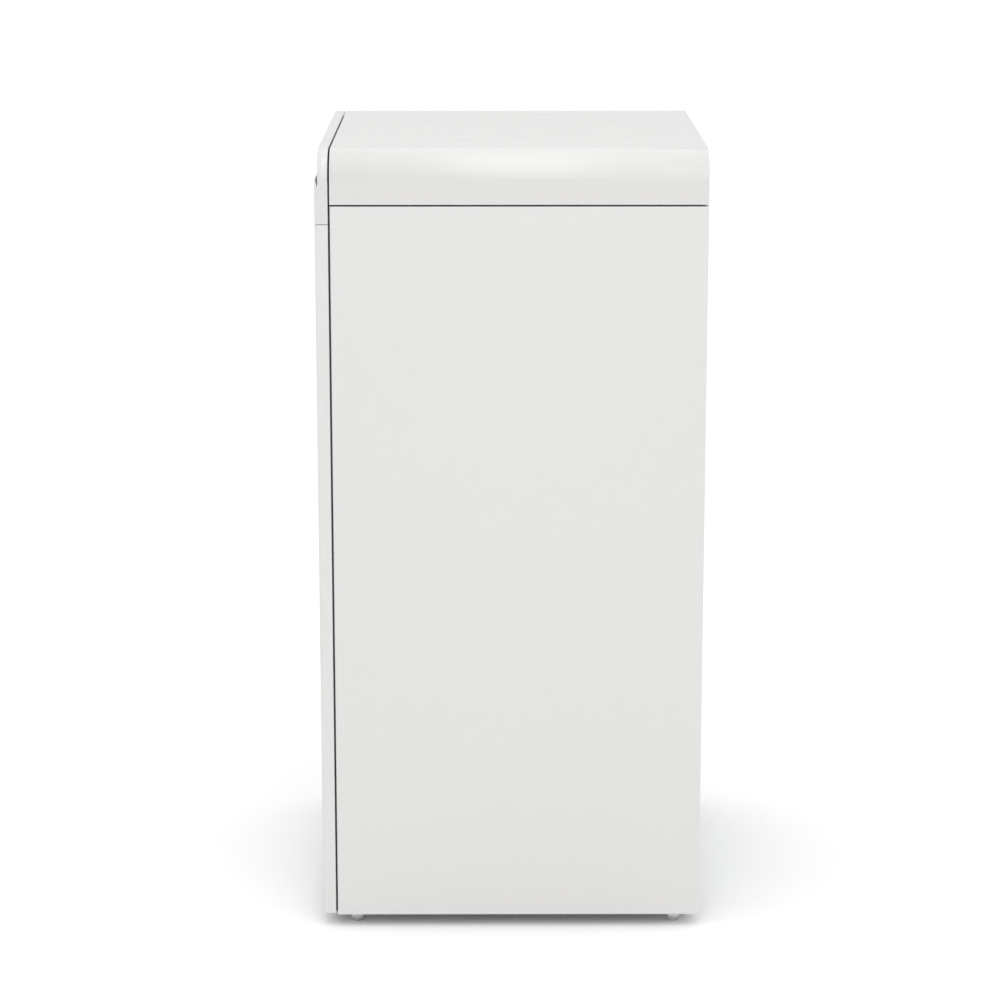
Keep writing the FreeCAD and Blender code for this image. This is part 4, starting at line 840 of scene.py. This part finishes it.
def waste_bin(plastic):
    """The bin: a tapered shell with stiffening bands, a coved floor and a rolled rim."""
    low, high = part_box("waste_bin")
    rim, wall, corner, taper = 4 * MM, 2.5 * MM, 25 * MM, 3 * MM
    lip, band, cove = 3 * MM, 1.8 * MM, 12 * MM
    tall = high.z - low.z

    def ring(height, inset):
        """A ring set in from the bin's wall; the wall leans in towards the floor."""
        inset += rim + taper * (1 - (height - low.z) / tall)
        radius = max(corner - inset + rim, 4 * MM)
        return corner_ring((low.x + inset, high.x - inset), (low.y + inset, high.y - inset), radius, height)

    outside = [(low.z, cove * 0.7), (low.z + cove * 0.3, cove * 0.2), (low.z + cove, 0)]
    for share in BIN_BANDS:
        middle = low.z + tall * share
        outside += [
            (middle - 4 * band, 0),
            (middle - 3 * band, -band),
            (middle + 3 * band, -band),
            (middle + 4 * band, 0),
        ]
    outside += [
        (high.z - 2.5 * lip, 0),
        (high.z - 2.2 * lip, -rim * 0.6),
        (high.z - 1.2 * lip, -rim),
        (high.z - 0.3 * lip, -rim),
        (high.z, -rim * 0.75),
    ]
    inside = [
        (high.z, wall * 0.4),
        (high.z - 0.5 * lip, wall),
        (low.z + cove, wall),
        (low.z + cove * 0.5, wall + cove * 0.2),
        (low.z + wall, wall + cove * 0.8),
    ]
    rings = [ring(height, inset) for height, inset in outside + inside]
    shape = Shape().loft(rings)
    piece("bin_shell", shape, plastic, "drawer", ("waste_bin",), 40)


def gasket(rubber):
    """The door gasket: a flat root with a soft bulb, mitred at the corners."""
    low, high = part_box("front_seal")
    side, foot = 6 * MM, 2.5 * MM
    outer = [(low.x, low.z), (high.x, low.z), (high.x, high.z), (low.x, high.z)]
    inner = [
        (low.x + side, low.z + foot),
        (high.x - side, low.z + foot),
        (high.x - side, high.z - side),
        (low.x + side, high.z - side),
    ]
    deep = high.y - low.y
    rings = []
    for near, far in zip(inner, outer):
        ring = []
        for share, level in GASKET_ROOT + GASKET_BULB:
            x = near[0] + (far[0] - near[0]) * share
            z = near[1] + (far[1] - near[1]) * share
            ring.append(Vector((x, low.y + deep * level, z)))
        rings.append(ring)
    shape = Shape().loft(rings, loop=True)
    piece("door_gasket", shape, rubber, "drawer", ("front_seal",), 50)


def sheet_beads(sheet):
    """Pressed stiffening beads on the back panel and the drawer's liner."""
    width, rise = 12 * MM, 1.7 * MM
    low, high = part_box("back_panel")
    step, below, above, rungs = 80 * MM, 110 * MM, 70 * MM, 3
    shape = Shape()
    for column in (-2, -1, 1, 2):
        x = column * step
        shape.bead((x, high.y, low.z + below), (x, high.y, high.z - above), BACKWARD, width, rise)
    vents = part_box("fan_housing")[0].z
    half = step - 2.5 * width
    for z in steps(low.z + 2 * below, vents - below / 2, (vents - low.z - 2.5 * below) / (rungs - 1)):
        shape.bead((-half, high.y, z), (half, high.y, z), BACKWARD, width, rise)
    piece("back_beads", shape, sheet, "cabinet")

    tray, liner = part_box("drawer_tray")[1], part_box("front_liner")
    face, margin = liner[0].y + 1.2 * MM, 30 * MM
    shape = Shape()
    for x in steps(liner[0].x + 2 * margin, liner[1].x - 2 * margin, 4 * margin):
        start, end = (x, face, tray.z + margin), (x, face, liner[1].z - 2 * margin)
        shape.bead(start, end, BACKWARD, width, rise)
    piece("liner_beads", shape, sheet, "drawer")


def ram_ribs(dark):
    """Cleats under the ram and ribs pressed into its front, rear and sides."""
    width, rise, margin, columns, rows = 12 * MM, 1.8 * MM, 24 * MM, 6, 4
    low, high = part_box("ram_box")
    foot, head = low.z + 2 * margin, high.z - 2 * margin
    cleats, ribs = Shape(), Shape()
    for x in steps(low.x + margin, high.x - margin, (high.x - low.x - 2 * margin) / (columns - 1)):
        cleats.bead((x, low.y + margin, low.z), (x, high.y - margin, low.z), (0, 0, -1), width, rise)
    for x in steps(low.x + 2 * margin, high.x - 2 * margin, (high.x - low.x - 4 * margin) / (rows - 1)):
        ribs.bead((x, low.y, foot), (x, low.y, head), FORWARD, width, rise)
        ribs.bead((x, high.y, foot), (x, high.y, head), BACKWARD, width, rise)
    for y in steps(low.y + 2 * margin, high.y - 2 * margin, (high.y - low.y - 4 * margin) / (rows - 2)):
        ribs.bead((high.x, y, foot), (high.x, y, head), (1, 0, 0), width, rise)
        ribs.bead((low.x, y, foot), (low.x, y, head), (-1, 0, 0), width, rise)
    piece("platen_cleats", cleats, dark, "ram")
    piece("ram_side_ribs", ribs, dark, "ram")


# ---- controls -----------------------------------------------------------------------------------

# A key's front in millimetres: behind its face, then beyond its outline across and up.
KEY_FRONT = (
    (0.9, 0, 0),
    (0.4, -0.15, -0.15),
    (0.1, -0.5, -0.5),
    (0, -1, -1),
    (0.2, -2.2, -2.2),
    (0.4, -4.5, -3.6),
    (0.5, -8, -4.8),
)
# The dial's marks in millimetres: across and up from its middle, then half a width and half a height.
DIAL_TICKS = ((0, 11.4, 0.35, 0.5), (14, 0, 0.5, 2.6))
MARK_TAPER = 0.88


def rounded(corners, radius):
    """A polygon with each of its corners rounded off by a short curve."""
    outline = []
    for index, corner in enumerate(corners):
        before, after = corners[index - 1], corners[(index + 1) % len(corners)]
        start = corner + (before - corner).normalized() * radius
        end = corner + (after - corner).normalized() * radius
        for step in range(ROUND_STEPS + 1):
            share = step / ROUND_STEPS
            outline.append(start.lerp(corner, share).lerp(corner.lerp(end, share), share))
    return outline


def rectangle(half_width, half_height):
    """The four corners of a rectangle about the origin."""
    return [Vector((x * half_width, z * half_height)) for x, z in ((-1, -1), (1, -1), (1, 1), (-1, 1))]


def stood_up(outline, place, depth, size=1.0):
    """A flat outline of (across, up) points, set upright facing forward at a depth."""
    return [Vector((place.x + point.x * size, depth, place.z + point.y * size)) for point in outline]


def raised_mark(outline, place, root, face):
    """A moulded mark with a softened edge, from below a surface to its own face."""
    middle = (root + face) / 2
    levels = ((root, 1.0), (middle, 1.0), (face, MARK_TAPER))
    return Shape().loft([stood_up(outline, place, depth, size) for depth, size in levels])


def key_caps(plastic):
    """Rectangular keys with rolled edges and a shallow dish for the fingertip."""
    half_width, half_height, corner = 11 * MM, 6 * MM, 1.2 * MM
    gap, flange, thick, stub = 0.3 * MM, 2 * MM, 1.5 * MM, 2 * MM
    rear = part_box("control_bezel")[1].y + gap
    for word in ("start", "stop"):
        node = f"{word}_button"
        low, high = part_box(node)
        rows = [
            (high.y, stub - half_width, stub - half_height),
            (rear + thick, stub - half_width, stub - half_height),
            (rear + thick, flange, flange),
            (rear, flange, flange),
            (rear, 0, 0),
        ]
        rows += [(low.y + back * MM, wider * MM, taller * MM) for back, wider, taller in KEY_FRONT]
        rings = []
        for depth, wider, taller in rows:
            width, height = half_width + wider, half_height + taller
            outline = rounded(rectangle(width, height), min(corner, 0.8 * width, 0.8 * height))
            rings.append(stood_up(outline, centre(node), depth))
        piece(f"{word}_cap", Shape().loft(rings), plastic, f"{word}_key", (node,), 40)


def controls(ink, lens):
    """Marks on the keys, the bezel and the dial, and the domed lens."""
    proud, root, dish = 0.12 * MM, 0.1 * MM, 0.5 * MM
    arrow, square = 3.6 * MM, 2.5 * MM
    arrow_round, square_round, tick_round, pointer_round = 0.9 * MM, 0.7 * MM, 0.3 * MM, 0.4 * MM
    turns = [math.radians(angle) for angle in (0, 120, 240)]
    triangle = [Vector((arrow * math.cos(turn), arrow * math.sin(turn))) for turn in turns]
    marks = {
        "start": rounded(triangle, arrow_round),
        "stop": rounded(rectangle(square, square), square_round),
    }
    for word, outline in marks.items():
        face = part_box(f"{word}_button")[0].y
        shape = raised_mark(outline, centre(f"{word}_button"), face + dish + root, face)
        piece(f"{word}_mark", shape, ink, f"{word}_key")

    dial, plate = centre("lock_dial"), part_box("control_bezel")[0].y
    shape = Shape()
    for across, up, half_width, half_height in DIAL_TICKS:
        tick = rounded(rectangle(half_width * MM, half_height * MM), tick_round)
        place = dial + Vector((across, 0, up)) * MM
        shape.add(raised_mark(tick, place, plate + root, plate - proud))
    piece("dial_marks", shape, ink, "drawer")

    half, reach, lift = 1 * MM, 2.6 * MM, 5.6 * MM
    corners = [Vector((-half, -reach)), Vector((half, -reach)), Vector((0, reach))]
    pointer = rounded(corners, pointer_round)
    tip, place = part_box("lock_dial")[0].y, dial + Vector((0, 0, lift))
    shape = raised_mark(pointer, place, tip + root, tip - proud)
    piece("dial_pointer", shape, ink, "dial")

    low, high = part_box("indicator_lens")
    clearance = 0.03 * MM
    size, deep = (high.x - low.x) / 2 - clearance, high.y - low.y
    levels = [(0, size), (deep * 0.85, size), (deep * 0.95, size * 0.8), (deep, size * 0.35)]
    place = (centre("indicator_lens").x, high.y, centre("indicator_lens").z)
    shape = Shape().turned(place, FORWARD, levels, 24)
    piece("lens_dome", shape, lens, "drawer", ("indicator_lens",), 60)


# ---- CAD nodes that keep their own shape --------------------------------------------------------

EDGE_STEPS = 2
EDGE_ANGLE = math.radians(35)
WELD_GAP = 1e-6


def dress(node, finish, edge):
    """Give a CAD node its finish and, if it has one, the small radius of its edges."""
    node_piece = nodes[node]
    node_piece.data.materials.clear()
    node_piece.data.materials.append(finish)
    for polygon in node_piece.data.polygons:
        polygon.material_index = 0
    if edge:
        weld = node_piece.modifiers.new("weld", "WELD")
        weld.merge_threshold = WELD_GAP
        bevel = node_piece.modifiers.new("edges", "BEVEL")
        bevel.width = edge * MM
        bevel.segments = EDGE_STEPS
        bevel.limit_method = "ANGLE"
        bevel.angle_limit = EDGE_ANGLE
        bevel.use_clamp_overlap = True
        bevel.harden_normals = True


def on_both_sides(*names):
    """Each name with the ending of each side."""
    return [f"{name}_{side}" for name in names for side in SIDES]


def dress_all(finish):
    """Every CAD node with its finish and its edge radius in millimetres."""
    table = {
        "enamel": {0: on_both_sides("side_panel"), 0.2: ["front_panel"]},
        "gloss": {0.6: ["top_cover"], 0.4: ["fascia"]},
        "grey": {0: ["control_bezel"], 0.8: ["waste_bin"]},
        "pale": {0.5: ["start_button", "stop_button", "lock_dial"]},
        "dark": {
            0.3: ["contact_socket", "drawer_switch", "fan_rotor"],
            0.4: ["power_inlet", "filter_cartridge"],
            0.6: ["fan_housing", "control_box"],
        },
        "sheet": {
            0: ["back_panel"],
            0.3: ["base_pan", "front_liner"],
            0.4: on_both_sides("side_frame") + ["drawer_tray"],
            0.5: on_both_sides("screw_bracket") + ["drive_deck"],
        },
        "plated": {
            0.3: on_both_sides("slide_outer", "slide_middle", "slide_inner") + ["back_screws"],
            0.4: on_both_sides("foot_front", "foot_rear") + ["front_bolts", "motor_bolts"],
        },
        "steel": {
            0: on_both_sides("power_screw"),
            0.2: on_both_sides("screw_sprocket") + ["drive_sprocket", "drive_chain", "drive_gear"],
            0.4: ["gear_axle", "motor_rotor"],
        },
        "dark_enamel": {0.8: ["ram_box", "ram_beam"]},
        "motor": {0.8: ["motor_housing"]},
        "brass": {0.4: on_both_sides("ram_nut") + ["screw_bearings"]},
        "can": {1: ["capacitor"]},
        "rubber": {0.4: ["front_seal"]},
        "lens": {0.4: ["indicator_lens"]},
        "board": {0.2: ["circuit_board"]},
    }
    for name, groups in table.items():
        for edge, members in groups.items():
            for node in members:
                dress(node, finish[name], edge)


def make_finishes():
    """Every finish by the name that the rest of the script uses."""
    return {
        "enamel": enamel_white(),
        "gloss": plastic_white(),
        "grey": moulded("moulded_grey", (0.42, 0.43, 0.44), 0.46),
        "dark": moulded("moulded_dark", (0.03, 0.03, 0.033), 0.5),
        "pale": moulded("moulded_pale", (0.6, 0.6, 0.59), 0.42),
        "ink": moulded("printed_ink", (0.05, 0.055, 0.06), 0.45, 1500.0, 0.00001),
        "sheet": galvanised(),
        "plated": zinc(),
        "steel": oiled_steel(),
        "dark_enamel": dark_enamel(),
        "motor": motor_black(),
        "brass": bronze(),
        "can": aluminium(),
        "rubber": seal_rubber(),
        "lens": lens_green(),
        "board": board_green(),
    }


finishes = make_finishes()
make_camera()
make_lights()
make_floor(floor_white())
dress_all(finishes)
levelling_feet(finishes["plated"])
fasteners(finishes["plated"])
power_screws(finishes["steel"])
drive_chain(finishes["steel"])
motor_ribs(finishes["motor"])
waste_bin(finishes["grey"])
# The gasket's dark grey rubber also serves as painted shade in the door's seams.
gasket(finishes["rubber"])
sheet_beads(finishes["sheet"])
ram_ribs(finishes["dark_enamel"])
key_caps(finishes["pale"])
controls(finishes["ink"], finishes["lens"])
